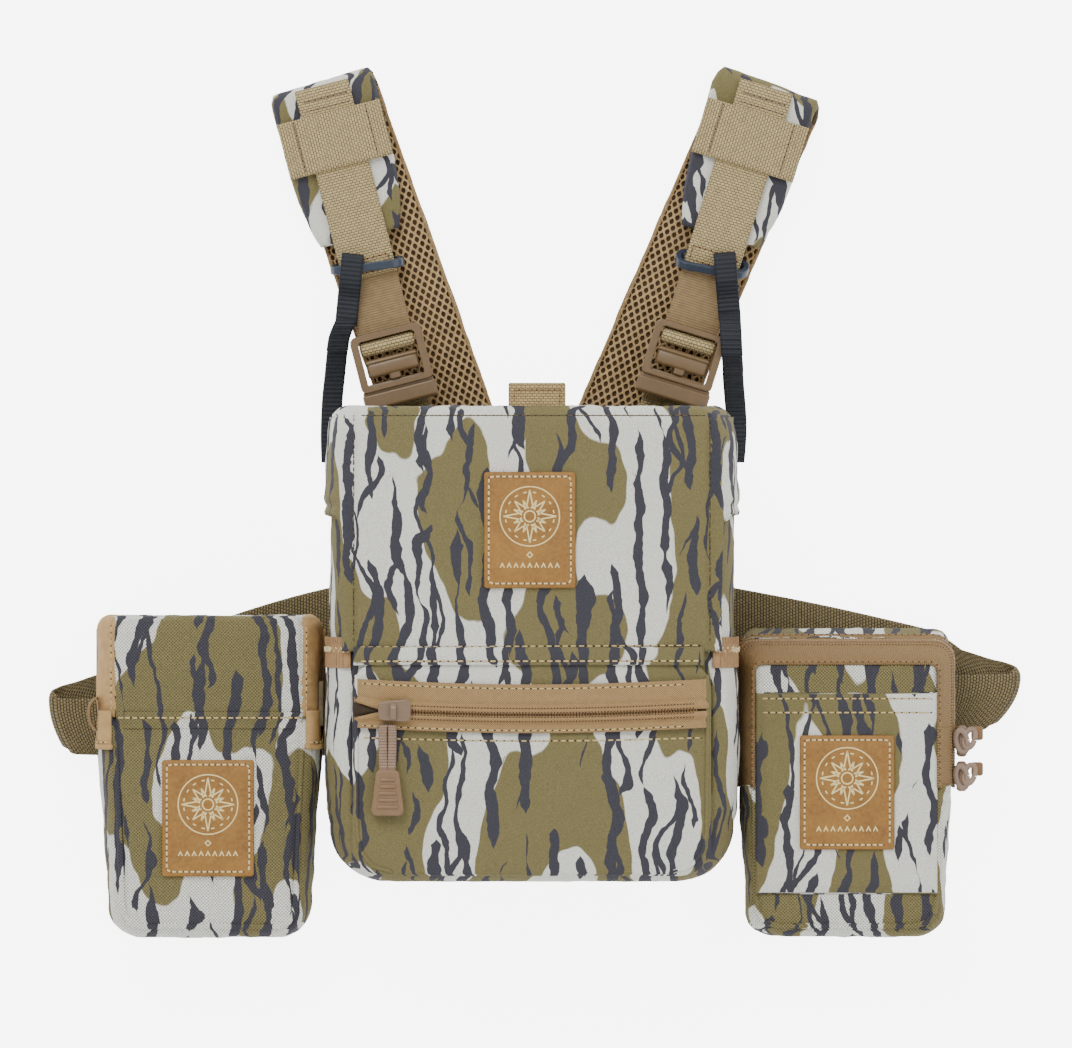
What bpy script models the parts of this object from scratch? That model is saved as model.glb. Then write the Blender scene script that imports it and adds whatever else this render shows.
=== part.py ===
"""Binocular harness pack: a chest pack on a shoulder harness, with two belt pouches.

The pack lies on its back: +X is its width, +Y runs from its bottom to the shoulders,
and +Z comes out of its front. Driving dimensions are in millimetres.
"""
import math

import bmesh
import bpy
from mathutils import Matrix, Vector

MM = 0.001
GAP = 0.35                      # clearance between pieces that touch
WEBBING_WIDTH = 25.4
WEBBING_THICK = 1.6
ELASTIC_THICK = 1.8

# Main pack
PACK_HALF_WIDTH = 88.0
PACK_BOTTOM = -105.5
PACK_TOP = 101.0
PACK_REAR_Z = 10.3
PACK_FRONT_Z = 84.5
PACK_WALL = 3.0
POCKET_TOP = -7.0
HINGE_Y = -4.8
HINGE_Z = 91.0
LID_Z = 88.0
LID_HALF_WIDTH = 89.2
LID_TOP = 104.0
LID_REAR_Z = 28.0
LID_WING_LOW = 58.6
LID_THICK = 1.8

# Front zip
ZIP_Y = -30.0
ZIP_LEFT = -79.0
ZIP_RIGHT = 75.0
ZIP_Z = 91.2
SLIDER_X = -60.8

# Harness: each front strap is a straight line through its buckle
BUCKLE = {"left": ((-63.3, 128.0), 14.4), "right": ((68.3, 129.2), -17.2)}
PAD_REAR = {"left": ((-29.6, 68.7), (-92.8, 245.8)), "right": ((30.6, 68.7), (106.6, 245.0))}
PAD_WIDTH = 48.0
PAD_THICK = 6.0
PAD_REAR_Z = 3.2
PAD_FRONT_Z = 12.2
PAD_FOLD_V = 121.5
PAD_TIP_V = 56.0
PAD_TIP_WIDTH = 35.0
WEB_Z = 16.3
CAM_V = 0.6
CAM_Z = 23.0
RING_V = 43.0
RING_Z = 16.8
RING_INNER = 4.6
RING_ROD = 2.3
RING_TILT = {"left": 8.0, "right": 30.0}
RING_TURN = {"left": -7.0, "right": 7.0}

# Side straps
STRAP_FRONT_Z = 10.4
STRAP_REAR_Z = 1.2

# Pouches
POUCH_REAR_Z = 13.0
LEFT_POUCH = {"left": -192.8, "right": -95.5, "bottom": -131.6, "top": 8.5, "front": 56.0}
LEFT_HINGE_Y = -33.0
LEFT_HINGE_Z = 60.5
RIGHT_POUCH = {"left": 93.6, "right": 187.3, "bottom": -131.0, "top": 6.0, "front": 53.5}
DOOR_HINGE_Y = -37.0
DOOR_HINGE_Z = 56.0
RIM_Z = 34.8


def clear_scene():
    """Remove everything that is in the scene."""
    for item in list(bpy.data.objects):
        bpy.data.objects.remove(item, do_unlink=True)


def collection(name, hidden=False):
    """A new collection in the scene."""
    group = bpy.data.collections.new(name)
    group.hide_render = hidden
    bpy.context.scene.collection.children.link(group)
    return group


clear_scene()
PARTS = collection("binocular_harness_pack")
CUTTERS = collection("cutters", hidden=True)


def finish(name, colour, roughness, metallic=0.0):
    """A Principled material."""
    mat = bpy.data.materials.new(name)
    mat.use_nodes = True
    shader = mat.node_tree.nodes["Principled BSDF"]
    shader.inputs["Base Color"].default_value = (*colour, 1.0)
    shader.inputs["Roughness"].default_value = roughness
    shader.inputs["Metallic"].default_value = metallic
    return mat


# Name: base colour (linear), roughness, metallic
FINISHES = {
    "camo_fabric": ((0.52, 0.50, 0.42), 0.85),
    "camo_canvas": ((0.45, 0.43, 0.34), 0.90),
    "webbing": ((0.34, 0.25, 0.13), 0.80),
    "elastic": ((0.17, 0.12, 0.075), 0.85),
    "air_mesh": ((0.30, 0.22, 0.11), 0.85),
    "buckle_plastic": ((0.27, 0.18, 0.095), 0.45),
    "dark_plastic": ((0.05, 0.065, 0.09), 0.35),
    "tether_webbing": ((0.010, 0.014, 0.022), 0.75),
    "zip_tape": ((0.38, 0.26, 0.13), 0.85),
    "leather_patch": ((0.43, 0.20, 0.04), 0.55),
    "zip_grip": ((0.30, 0.18, 0.09), 0.55),
    "magnet_steel": ((0.55, 0.55, 0.56), 0.35),
}


def material(name, piece):
    """The material of one piece, named for its finish."""
    colour, roughness = FINISHES[name]
    metallic = 1.0 if name == "magnet_steel" else 0.0
    return finish(f"{name}.{piece}", colour, roughness, metallic)


def metres(point):
    """A point in millimetres as a vector in metres."""
    return Vector(point) * MM


def mesh_piece(name, bm, slot, group=None):
    """An object from a bmesh, with the material of its slot."""
    mesh = bpy.data.meshes.new(name)
    bm.to_mesh(mesh)
    bm.free()
    piece = bpy.data.objects.new(name, mesh)
    (group or PARTS).objects.link(piece)
    if slot:
        mesh.materials.append(material(slot, name))
    return piece


def cutter(name, bm):
    """A hidden solid that another piece is cut with."""
    piece = mesh_piece(name, bm, None, CUTTERS)
    piece.display_type = "WIRE"
    piece.hide_render = True
    return piece


def cut(piece, tool):
    """Take the tool's shape out of the piece."""
    mod = piece.modifiers.new("cut_" + tool.name, "BOOLEAN")
    mod.operation = "DIFFERENCE"
    mod.solver = "EXACT"
    mod.object = tool


def rounded(corners, radii, steps=4):
    """An outline through the corners, each replaced by an arc of its radius."""
    points = []
    for index, corner in enumerate(corners):
        here = Vector(corner)
        back = (Vector(corners[index - 1]) - here).normalized()
        ahead = (Vector(corners[(index + 1) % len(corners)]) - here).normalized()
        half = back.angle(ahead) / 2
        radius = radii[index]
        centre = here + (back + ahead).normalized() * (radius / math.sin(half))
        start = here + back * (radius / math.tan(half)) - centre
        end = here + ahead * (radius / math.tan(half)) - centre
        turn = start.angle_signed(end)
        for step in range(steps + 1):
            # angle_signed is clockwise, and Matrix.Rotation is counter-clockwise
            spin = Matrix.Rotation(-turn * step / steps, 2)
            points.append(centre + spin @ start)
    return points


def rectangle(x0, x1, y0, y1, low_radius, high_radius, steps=4):
    """A rounded rectangle with one radius at the bottom corners and one at the top."""
    corners = [(x0, y0), (x1, y0), (x1, y1), (x0, y1)]
    return rounded(corners, [low_radius, low_radius, high_radius, high_radius], steps)


def block_mesh(low, high):
    """A cube between two corners."""
    bm = bmesh.new()
    size = Vector(high) - Vector(low)
    middle = (Vector(high) + Vector(low)) / 2
    place = Matrix.Translation(middle * MM) @ Matrix.Diagonal((*(size * MM), 1.0))
    bmesh.ops.create_cube(bm, size=1.0, matrix=place)
    return bm


def bevel(piece, width, segments=2):
    """Round the edges of a piece."""
    mod = piece.modifiers.new("rounded_edges", "BEVEL")
    mod.width = width * MM
    mod.segments = segments
    mod.limit_method = "ANGLE"


def block(name, low, high, slot, edge=0.4, segments=1):
    """A box between two corners with rounded edges."""
    piece = mesh_piece(name, block_mesh(low, high), slot)
    bevel(piece, edge, segments)
    return piece


def plate(name, outlines, low, high, slot, place=None):
    """A flat outline, with holes for the further outlines, between two heights."""
    curve = bpy.data.curves.new(name, "CURVE")
    curve.dimensions = "2D"
    curve.fill_mode = "BOTH"
    curve.extrude = (high - low) / 2 * MM
    for outline in outlines:
        spline = curve.splines.new("POLY")
        spline.points.add(len(outline) - 1)
        for point, (x, y) in zip(spline.points, outline):
            point.co = (x * MM, y * MM, 0.0, 1.0)
        spline.use_cyclic_u = True
    curve.materials.append(material(slot, name))
    piece = bpy.data.objects.new(name, curve)
    PARTS.objects.link(piece)
    lift = Matrix.Translation((0.0, 0.0, (low + high) / 2 * MM))
    piece.matrix_world = (place or Matrix.Identity(4)) @ lift
    return piece


def loft_mesh(sections):
    """A closed solid through rings of equal count."""
    bm = bmesh.new()
    rings = [[bm.verts.new(metres(p)) for p in ring] for ring in sections]
    count = len(rings[0])
    for lower, upper in zip(rings, rings[1:]):
        for k in range(count):
            after = (k + 1) % count
            bm.faces.new((lower[k], lower[after], upper[after], upper[k]))
    bm.faces.new(list(reversed(rings[0])))
    bm.faces.new(rings[-1])
    bmesh.ops.recalc_face_normals(bm, faces=bm.faces)
    return bm


def stacked(outlines):
    """Rings for a loft: (height, outline) pairs."""
    return [[(x, y, z) for x, y in outline] for z, outline in outlines]


def sheet(name, rows, thickness, slot, outward, side=0.0, keep=None, cap=False):
    """A surface through rows of points, thickened; side 1 thickens it outward."""
    bm = bmesh.new()
    grid = [[bm.verts.new(metres(p)) for p in row] for row in rows]
    for r in range(len(grid) - 1):
        for k in range(len(grid[0]) - 1):
            if keep and not keep(r, k):
                continue
            bm.faces.new((grid[r][k], grid[r][k + 1], grid[r + 1][k + 1], grid[r + 1][k]))
    if cap:
        bm.faces.new(grid[-1])
    bmesh.ops.delete(bm, geom=[v for v in bm.verts if not v.link_faces], context="VERTS")
    bmesh.ops.recalc_face_normals(bm, faces=bm.faces)
    bm.normal_update()
    biggest = max(bm.faces, key=lambda face: abs(face.normal.dot(Vector(outward))) * face.calc_area())
    if biggest.normal.dot(Vector(outward)) < 0:
        bmesh.ops.reverse_faces(bm, faces=bm.faces)
    piece = mesh_piece(name, bm, slot)
    mod = piece.modifiers.new("thickness", "SOLIDIFY")
    mod.thickness = thickness * MM
    mod.offset = side
    mod.use_even_offset = True
    return piece


def ribbon(name, route, across, width, thickness, slot):
    """A flat strap along a route of points, with one across direction or one for each point."""
    if not isinstance(across, list):
        across = [across] * len(route)
    if not isinstance(width, list):
        width = [width] * len(route)
    rows = []
    for point, way, span in zip(route, across, width):
        half = Vector(way).normalized() * span / 2
        rows.append([Vector(point) - half, Vector(point) + half])
    return sheet(name, rows, thickness, slot, (0.0, 0.0, 1.0))


def hang(pivot_name, pivot, pieces):
    """Parent the pieces to an empty on their joint's axis."""
    empty = bpy.data.objects.new(pivot_name, None)
    empty.location = metres(pivot)
    PARTS.objects.link(empty)
    for piece in pieces:
        carry(piece, empty, pivot)
    return empty


def carry(piece, parent, pivot):
    """Parent a piece or empty to an empty at the pivot, where it is."""
    piece.parent = parent
    piece.matrix_parent_inverse = Matrix.Translation(-metres(pivot))


# ---------------------------------------------------------------- harness

def front_frame(side):
    """The placing of one front strap: its origin at the buckle, +Y up the strap."""
    (x, y), lean = BUCKLE[side]
    return Matrix.Translation(metres((x, y, 0.0))) @ Matrix.Rotation(math.radians(lean), 4, "Z")


def on_front(side, u, v, z):
    """A point of one front strap's own frame, in millimetres."""
    return (front_frame(side) @ metres((u, v, z))) / MM


def front_route(side, points):
    """A route up one front strap from (v, z) pairs."""
    return [on_front(side, 0.0, v, z) for v, z in points]


def front_across(side):
    """The direction across one front strap."""
    return front_frame(side).to_3x3() @ Vector((1.0, 0.0, 0.0))


def placed_block(name, low, high, slot, place, edge=0.4):
    """A box in a frame of its own."""
    piece = block(name, low, high, slot, edge)
    piece.data.transform(place)
    return piece


def shoulder_pad(side):
    """A pad up the back, folded forward over the shoulder and down to its tip."""
    (rear_x, rear_y), (fold_x, fold_y) = PAD_REAR[side]
    low = Vector((rear_x, rear_y, PAD_REAR_Z))
    high = Vector((fold_x, fold_y, PAD_REAR_Z))
    rise = (high - low).normalized()
    rear_across = Vector((rise.y, -rise.x, 0.0))
    front_low = on_front(side, 0.0, PAD_TIP_V, PAD_FRONT_Z)
    front_high = on_front(side, 0.0, PAD_FOLD_V, PAD_FRONT_Z)
    across = front_across(side)
    radius = (PAD_FRONT_Z - PAD_REAR_Z) / 2
    route = [low, low.lerp(high, 0.5), high]
    ways = [rear_across, rear_across, rear_across]
    spans = [PAD_WIDTH, PAD_WIDTH, PAD_WIDTH]
    turn_steps = 6
    for step in range(1, turn_steps):
        share = step / turn_steps
        angle = math.pi * share
        over = rear_across.lerp(across, share).normalized()
        out = Vector((-over.y, over.x, 0.0))
        centre = Vector((*high.lerp(front_high, share).xy, PAD_REAR_Z + radius))
        route.append(centre + out * radius * math.sin(angle) - Vector((0, 0, radius * math.cos(angle))))
        ways.append(over)
        spans.append(PAD_WIDTH)
    route += [front_high, front_high.lerp(front_low, 0.45), front_low]
    ways += [across, across, across]
    spans += [PAD_WIDTH, PAD_WIDTH, PAD_TIP_WIDTH]
    return ribbon(f"shoulder_pad_{side}", route, ways, spans, PAD_THICK, "air_mesh")


def harness_front(side):
    """The crossband, tab, webbing, buckle and anchor webbing of one side."""
    place = front_frame(side)
    across = front_across(side)
    placed_block(f"crossband_{side}", (-23.9, 88.6, 17.5), (23.9, 114.2, 19.1), "webbing", place)
    placed_block(f"strap_tab_{side}", (-12.9, 115.0, 15.5), (12.9, 126.5, 17.1), "webbing", place)
    roll = [(114.0, WEB_Z), (60.0, WEB_Z), (14.0, WEB_Z), (8.5, 16.6), (4.6, 17.5), (2.9, 19.6),
            (3.4, 22.0), (5.6, 23.0), (7.6, 22.2), (8.2, 20.4)]
    ribbon(f"front_webbing_{side}", front_route(side, roll), across, 24.6, WEBBING_THICK, "webbing")
    outer = rectangle(-16.4, 16.4, -12.8, 12.8, 2.0, 3.0, 3)
    window = rectangle(-13.0, 13.0, -10.6, 10.0, 1.5, 1.5, 2)
    plate(f"buckle_frame_{side}", [outer, window], 17.6, 25.2, "buckle_plastic", place)
    cam_outline = [(-2.4, -9.6), (2.4, -9.6), (2.4, -7.0), (11.9, -7.0), (11.9, 1.2),
                   (-11.9, 1.2), (-11.9, -7.0), (-2.4, -7.0)]
    cam = plate(f"buckle_cam_{side}", [cam_outline], 19.6, 23.8, "buckle_plastic", place)
    hang(f"buckle_cam_{side}_axis", on_front(side, 0.0, CAM_V, CAM_Z), [cam])
    placed_block(f"buckle_socket_{side}", (-16.8, -21.4, 16.4), (16.8, -13.2, 24.0),
                 "buckle_plastic", place, 1.2)
    anchor = [(-15.0, 15.1), (-20.4, 14.6), (-23.0, 9.8), (-26.0, 8.3), (-44.0, 8.0)]
    ribbon(f"anchor_webbing_{side}", front_route(side, anchor), across, 24.6,
           WEBBING_THICK, "webbing")


def keeper_ring(side):
    """A stadium ring round the webbing; its outline is across the strap and upward."""
    half_height = RING_INNER + RING_ROD
    outer = rectangle(-16.8, 16.8, -half_height, half_height, 6.0, 6.0, 4)
    inner = rectangle(-14.2, 14.2, -RING_INNER, RING_INNER, 4.0, 4.0, 4)
    centre = Matrix.Translation(metres((0.0, RING_V, RING_Z)))
    turn = Matrix.Rotation(math.radians(RING_TURN[side]), 4, "Z")
    tilt = turn @ Matrix.Rotation(math.radians(90.0 + RING_TILT[side]), 4, "X")
    return plate(f"keeper_ring_{side}", [outer, inner], -1.9, 1.9, "dark_plastic",
                 front_frame(side) @ centre @ tilt)


TETHER_WIDTH = 10.0
# The flat part of each tether, from below its loop to behind the pack's top corner
TETHER_ROUTE = {
    "left": [(-83.4, 145.0, 19.2), (-85.0, 141.5, 17.8), (-86.7, 137.0, 14.6), (-87.6, 131.5, 11.0),
             (-88.3, 125.5, 7.6), (-89.0, 119.0, 4.7), (-89.8, 112.0, 2.8), (-90.3, 105.0, 1.8),
             (-90.6, 97.0, 1.4), (-90.6, 89.0, 1.3), (-90.3, 81.0, 1.3)],
    "right": [(88.9, 147.0, 21.0), (89.1, 143.0, 24.6), (89.3, 139.0, 26.8), (89.5, 134.0, 27.4),
              (89.8, 129.0, 26.6), (90.3, 124.5, 22.4), (90.5, 119.5, 16.6), (91.0, 114.0, 11.2),
              (91.6, 108.0, 6.4), (92.1, 101.5, 3.3), (92.2, 94.0, 1.8), (91.8, 87.0, 1.3),
              (91.2, 81.0, 1.3)],
}
TETHER_U = {"left": -7.3, "right": 6.3}


def tether(side):
    """The loop over the ring, and the flat strap that runs down behind the pack."""
    route = [Vector(point) for point in TETHER_ROUTE[side]]
    start = on_front(side, TETHER_U[side], RING_V, 0.0)
    way = Vector((start.x - route[0].x, start.y - route[0].y, 0.0))
    reach = way.length
    way.normalize()
    across = Vector((way.y, -way.x, 0.0))
    # Distance up the tether from the ring, and height
    loop = [(-reach + 1.2, 18.2), (-9.0, 18.2), (4.6, 18.2), (5.8, 19.6), (6.2, 21.6), (5.8, 23.4),
            (4.6, 24.6), (-4.4, 24.6), (-8.0, 23.4), (-13.0, 20.4), (-reach + 1.2, 19.9)]
    points = [Vector((start.x, start.y, 0.0)) + way * t + Vector((0.0, 0.0, z)) for t, z in loop]
    band = ribbon(f"tether_loop_{side}", points, across, TETHER_WIDTH, 1.2, "tether_webbing")
    ribbon(f"tether_strap_{side}", route, Vector((1.0, 0.0, 0.0)), TETHER_WIDTH - 0.6, 1.5,
           "tether_webbing")
    return band


# Each side strap: its front run and its rear run, from the pack outward, as (x, y) centres
SIDE_STRAP = {
    "left": ([(-66.0, -38.5), (-90.0, -38.5), (-104.0, -38.5), (-160.0, -38.5), (-210.4, -38.0)],
             [(-60.6, 16.0), (-91.0, 12.0), (-135.0, -0.5), (-197.0, -24.0), (-210.4, -30.5)]),
    "right": ([(66.0, -28.0), (90.0, -28.0), (102.0, -28.0), (160.0, -28.0), (212.9, -27.0)],
              [(60.6, 17.0), (90.5, 12.0), (141.0, 2.0), (198.0, -12.0), (212.9, -20.0)]),
}


def side_strap(side):
    """Elastic webbing from the yoke out to a fold, and back along the pouch to the pack."""
    front, rear = SIDE_STRAP[side]
    sign = -1.0 if side == "left" else 1.0
    route = []
    for x, y in rear:
        route.append(Vector((x, y, STRAP_REAR_Z)))
    radius = (STRAP_FRONT_Z - STRAP_REAR_Z) / 2
    turn_steps = 6
    for step in range(1, turn_steps):
        angle = math.pi * step / turn_steps
        y = rear[-1][1] + (front[-1][1] - rear[-1][1]) * step / turn_steps
        x = front[-1][0] + sign * radius * math.sin(angle)
        route.append(Vector((x, y, STRAP_REAR_Z + radius - radius * math.cos(angle))))
    under_pack = [8.3, 8.3, STRAP_FRONT_Z, STRAP_FRONT_Z, STRAP_FRONT_Z]
    for (x, y), z in reversed(list(zip(front, under_pack))):
        route.append(Vector((x, y, z)))
    return ribbon(f"side_strap_{side}", route, Vector((0.0, 1.0, 0.0)), WEBBING_WIDTH,
                  ELASTIC_THICK, "elastic")


def back_yoke():
    """The pad between the shoulder pads and the side straps, against the wearer's back."""
    corners = [(-60.0, -12.0), (60.0, -12.0), (60.0, 44.0), (52.8, 58.2), (8.6, 76.6),
               (-7.4, 75.6), (-52.4, 59.4), (-60.0, 44.0)]
    return plate("back_yoke", [rounded(corners, [12.0, 12.0, 4.0, 0.5, 2.0, 2.0, 0.5, 4.0], 3)],
                 0.0, 6.0, "air_mesh")


# ---------------------------------------------------------------- main pack

# Height, half width, bottom edge of the pack's bulging sides
PACK_LEVELS = [(10.3, 81.0, -98.5), (20.0, 86.0, -103.5), (36.0, 88.0, -105.5), (58.0, 88.0, -105.5),
               (74.0, 85.0, -103.5), (84.5, 79.5, -99.5)]


def pack_shell():
    """The bag, open at its top edge."""
    outlines = []
    inner = []
    for z, half, bottom in PACK_LEVELS:
        outlines.append((z, rectangle(-half, half, bottom, PACK_TOP, 24.0, 8.0)))
        reach = half - PACK_WALL
        depth = min(max(z, PACK_REAR_Z + PACK_WALL), PACK_FRONT_Z - PACK_WALL)
        inner.append((depth, rectangle(-reach, reach, bottom + PACK_WALL, PACK_TOP + 9.0, 21.0, 1.0)))
    shell = mesh_piece("pack_shell", loft_mesh(stacked(outlines)), "camo_fabric")
    cut(shell, cutter("pack_cavity", loft_mesh(stacked(inner))))
    return shell


def side_profile(offset):
    """(x, z) points up the pack's side, moved outward by an offset."""
    return [(half + offset, z) for z, half, bottom in PACK_LEVELS]


def side_pocket(sign, side):
    """A flat stretch pocket on the pack's side and its elastic hem."""
    for name, y0, y1, offset, thick, slot in (
        ("side_pocket", -74.0, 1.5, 0.9, 1.0, "camo_fabric"),
        ("side_hem", -11.0, 3.0, 2.3, 1.0, "elastic"),
    ):
        rows = []
        for y in (y0, y1):
            rows.append([(sign * x, y, z) for x, z in side_profile(offset)[1:5]])
        sheet(f"{name}_{side}", rows, thick, slot, (sign, 0.0, 0.0))


def hood(name, profile, levels, lows, slope, slot, thick):
    """A lid closed at its top end; lows are where its panel, corners and wings begin."""
    rows = []
    for y in levels:
        last = y == levels[-1]
        rows.append([(x, y - (slope * (z - profile[0][1]) if last else 0.0), z) for x, z in profile])

    def keep(row, column):
        from_edge = min(column, len(profile) - 2 - column)
        low = lows["wing"] if from_edge < 2 else lows["corner"] if from_edge < 4 else lows["panel"]
        return levels[row] >= low

    return sheet(name, rows, thick, slot, (0.0, 0.0, 1.0), 1.0, keep, cap=True)


def hood_profile(centre, half, panel, rear, shoulder, front):
    """(x, z) points across a lid: up one wing, over the front panel and down the other."""
    side = [(half, rear), (half, (rear + shoulder) / 2), (half, shoulder),
            (half * 0.7 + panel * 0.3, shoulder + (front - shoulder) * 0.62),
            (panel, front), (panel * 0.5, front + 0.5)]
    left = [(centre - x, z) for x, z in side]
    right = [(centre + x, z) for x, z in reversed(side)]
    return left + right


def main_lid():
    """The lid of the main pack with its pull tab, leather patch and magnet."""
    profile = hood_profile(0.0, LID_HALF_WIDTH, 79.5, LID_REAR_Z, 76.0, LID_Z)
    levels = [HINGE_Y + 1.6, 30.0, LID_WING_LOW, 82.0, LID_TOP]
    lows = {"panel": levels[0], "corner": LID_WING_LOW, "wing": LID_WING_LOW}
    lid = hood("lid_hood", profile, levels, lows, 0.0, "camo_fabric", LID_THICK)
    tab = block("lid_pull_tab", (-10.4, 106.2, 82.5), (15.0, 115.2, 84.3), "webbing")
    top = LID_Z + LID_THICK + 0.5
    patch = plate("lid_patch", [rectangle(-21.2, 19.4, 24.8, 76.4, 2.5, 2.5, 3)],
                  top + GAP, top + GAP + 2.0, "leather_patch")
    disc = rounded([(-9.0, 76.0), (9.0, 76.0), (9.0, 94.0), (-9.0, 94.0)], [8.9] * 4, 3)
    magnet = plate("lid_magnet", [disc], LID_Z - 1.5, LID_Z - 0.4, "magnet_steel")
    plate("body_magnet", [disc], PACK_FRONT_Z + 0.4, PACK_FRONT_Z + 1.6, "magnet_steel")
    hang("lid_axis", (0.0, HINGE_Y, HINGE_Z), [lid, tab, patch, magnet])


def front_pocket():
    """The zipped pocket on the lower front, with its tape, coil, slider and pull."""
    bottom = -98.0
    plate("front_pocket", [rectangle(-79.0, 79.0, bottom, POCKET_TOP, 20.0, 4.0)],
          PACK_FRONT_Z + GAP, ZIP_Z - GAP, "camo_fabric")
    tape_z = ZIP_Z + 1.0
    plate("front_zip_tape", [rectangle(ZIP_LEFT, ZIP_RIGHT, -37.5, -15.0, 1.0, 1.0, 1)],
          ZIP_Z, tape_z, "zip_tape")
    block("front_zip_coil", (SLIDER_X - 6.0, ZIP_Y - 1.8, tape_z + GAP),
                 (ZIP_RIGHT - 2.0, ZIP_Y + 1.8, tape_z + GAP + 1.3), "zip_tape", 0.3)
    slider_z = tape_z + GAP + 1.3 + GAP
    slider = plate("front_zip_slider",
                   [rounded([(SLIDER_X - 7.2, -33.5), (SLIDER_X + 7.2, -34.5),
                             (SLIDER_X + 7.2, -24.0), (SLIDER_X - 7.2, -25.5)], [2.0] * 4, 2)],
                   slider_z, slider_z + 2.6, "zip_grip")
    cord = block("front_zip_cord", (SLIDER_X - 6.8, -55.0, tape_z + GAP),
                 (SLIDER_X + 0.6, -35.0, tape_z + GAP + 2.2), "zip_grip", 0.6)
    grip = plate("front_zip_grip",
                 [rounded([(SLIDER_X - 10.6, -76.0), (SLIDER_X + 4.6, -76.0),
                           (SLIDER_X + 2.0, -55.4), (SLIDER_X - 8.0, -55.4)], [2.0] * 4, 2)],
                 tape_z + GAP, tape_z + GAP + 4.0, "zip_grip")
    pull_axis = hang("front_pull_axis", (SLIDER_X - 3.0, -34.8, slider_z + 0.5), [cord, grip])
    slide_place = (SLIDER_X, ZIP_Y, slider_z)
    carry(pull_axis, hang("front_zip_slide_axis", slide_place, [slider]), slide_place)


# ---------------------------------------------------------------- left pouch

def pouch_solid(size, inset, taper, bulge_low, corner):
    """Rings of a pouch between its rear and front, drawn in by an inset."""
    rings = []
    depth = size["front"] - POUCH_REAR_Z
    for share, draw in ((0.0, 4.0), (0.18, 0.8), (0.45, 0.0), (0.78, 1.2), (1.0, 7.0)):
        z = POUCH_REAR_Z + depth * share
        z = min(max(z, POUCH_REAR_Z + inset), size["front"] - inset)
        side = draw + inset
        low = size["bottom"] + draw * bulge_low + inset
        corners = [(size["left"] + side + taper, low), (size["right"] - side - taper, low),
                   (size["right"] - side, size["bottom"] + 85.0), (size["right"] - side, size["top"]),
                   (size["left"] + side, size["top"]), (size["left"] + side, size["bottom"] + 85.0)]
        rings.append((z, rounded(corners, [corner, corner, 8.0, 3.0, 3.0, 8.0])))
    return rings


def belt_loop(name, size, strap_y, x0, x1):
    """A strip that holds the pouch to its strap: behind the strap and up to the pouch."""
    high = strap_y + WEBBING_WIDTH / 2 + 4.0
    low = strap_y - WEBBING_WIDTH / 2 - 4.0
    profile = [(high - 4.0, 12.2), (high, 12.0), (high + 1.5, 10.0), (high, 7.9), (high - 4.0, 7.4),
               (low + 4.0, 7.4), (low, 7.9), (low - 1.5, 10.0), (low, 12.0), (low + 4.0, 12.2)]
    middle = (x0 + x1) / 2
    route = [Vector((middle, y, z)) for y, z in profile]
    return ribbon(name, route, Vector((1.0, 0.0, 0.0)), x1 - x0, 1.2, "webbing")


def left_pouch():
    """The lidded pouch on the left side strap."""
    size = dict(LEFT_POUCH)
    shell = mesh_piece("left_pouch_shell", loft_mesh(stacked(pouch_solid(size, 0.0, 5.0, 0.8, 14.0))),
                       "camo_canvas")
    size["top"] += 9.0
    cut(shell, cutter("left_cavity", loft_mesh(stacked(pouch_solid(size, 2.5, 5.0, 0.8, 12.0)))))
    centre = (LEFT_POUCH["left"] + LEFT_POUCH["right"]) / 2
    half = (LEFT_POUCH["right"] - LEFT_POUCH["left"]) / 2 + 0.5
    lid_z = LEFT_POUCH["front"] + 2.2
    profile = hood_profile(centre, half, 42.0, 20.0, 50.0, lid_z)
    levels = [-45.0, LEFT_HINGE_Y + 1.4, -12.0, 10.2]
    lows = {"panel": LEFT_HINGE_Y, "corner": LEFT_HINGE_Y, "wing": levels[0]}
    lid = hood("left_pouch_lid", profile, levels, lows, 0.0, "camo_canvas", 1.7)
    patch_z = LEFT_POUCH["front"] + GAP
    patch = plate("left_pouch_patch", [rectangle(-165.0, -124.0, -104.0, -52.0, 2.5, 2.5, 3)],
                  patch_z, patch_z + 2.0, "leather_patch")
    loop = block("left_elastic_loop", (-197.8, -38.0, 40.0), (-195.4, -25.0, 50.0), "elastic")
    strip = belt_loop("left_belt_loop", LEFT_POUCH, -38.5, -170.0, -118.0)
    hinge = hang("left_lid_axis", (centre, LEFT_HINGE_Y, LEFT_HINGE_Z), [lid, loop])
    slide_place = (centre, SIDE_STRAP["left"][0][0][1], STRAP_FRONT_Z)
    carry(hinge, hang("left_pouch_axis", slide_place, [shell, patch, strip]), slide_place)


# ---------------------------------------------------------------- right pouch

def zip_path(offset):
    """The zip's way round the right pouch: up one side, over the top and down the other."""
    left = RIGHT_POUCH["left"] - offset
    right = RIGHT_POUCH["right"] + offset
    top = RIGHT_POUCH["top"] + offset
    radius = 7.0 + offset
    points = [(right, -64.4)]
    for centre_x, start in ((right - radius, 0.0), (left + radius, 90.0)):
        for step in range(5):
            angle = math.radians(start + 22.5 * step)
            points.append((centre_x + radius * math.cos(angle), top - radius + radius * math.sin(angle)))
    points.append((left, -64.4))
    return points


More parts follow.
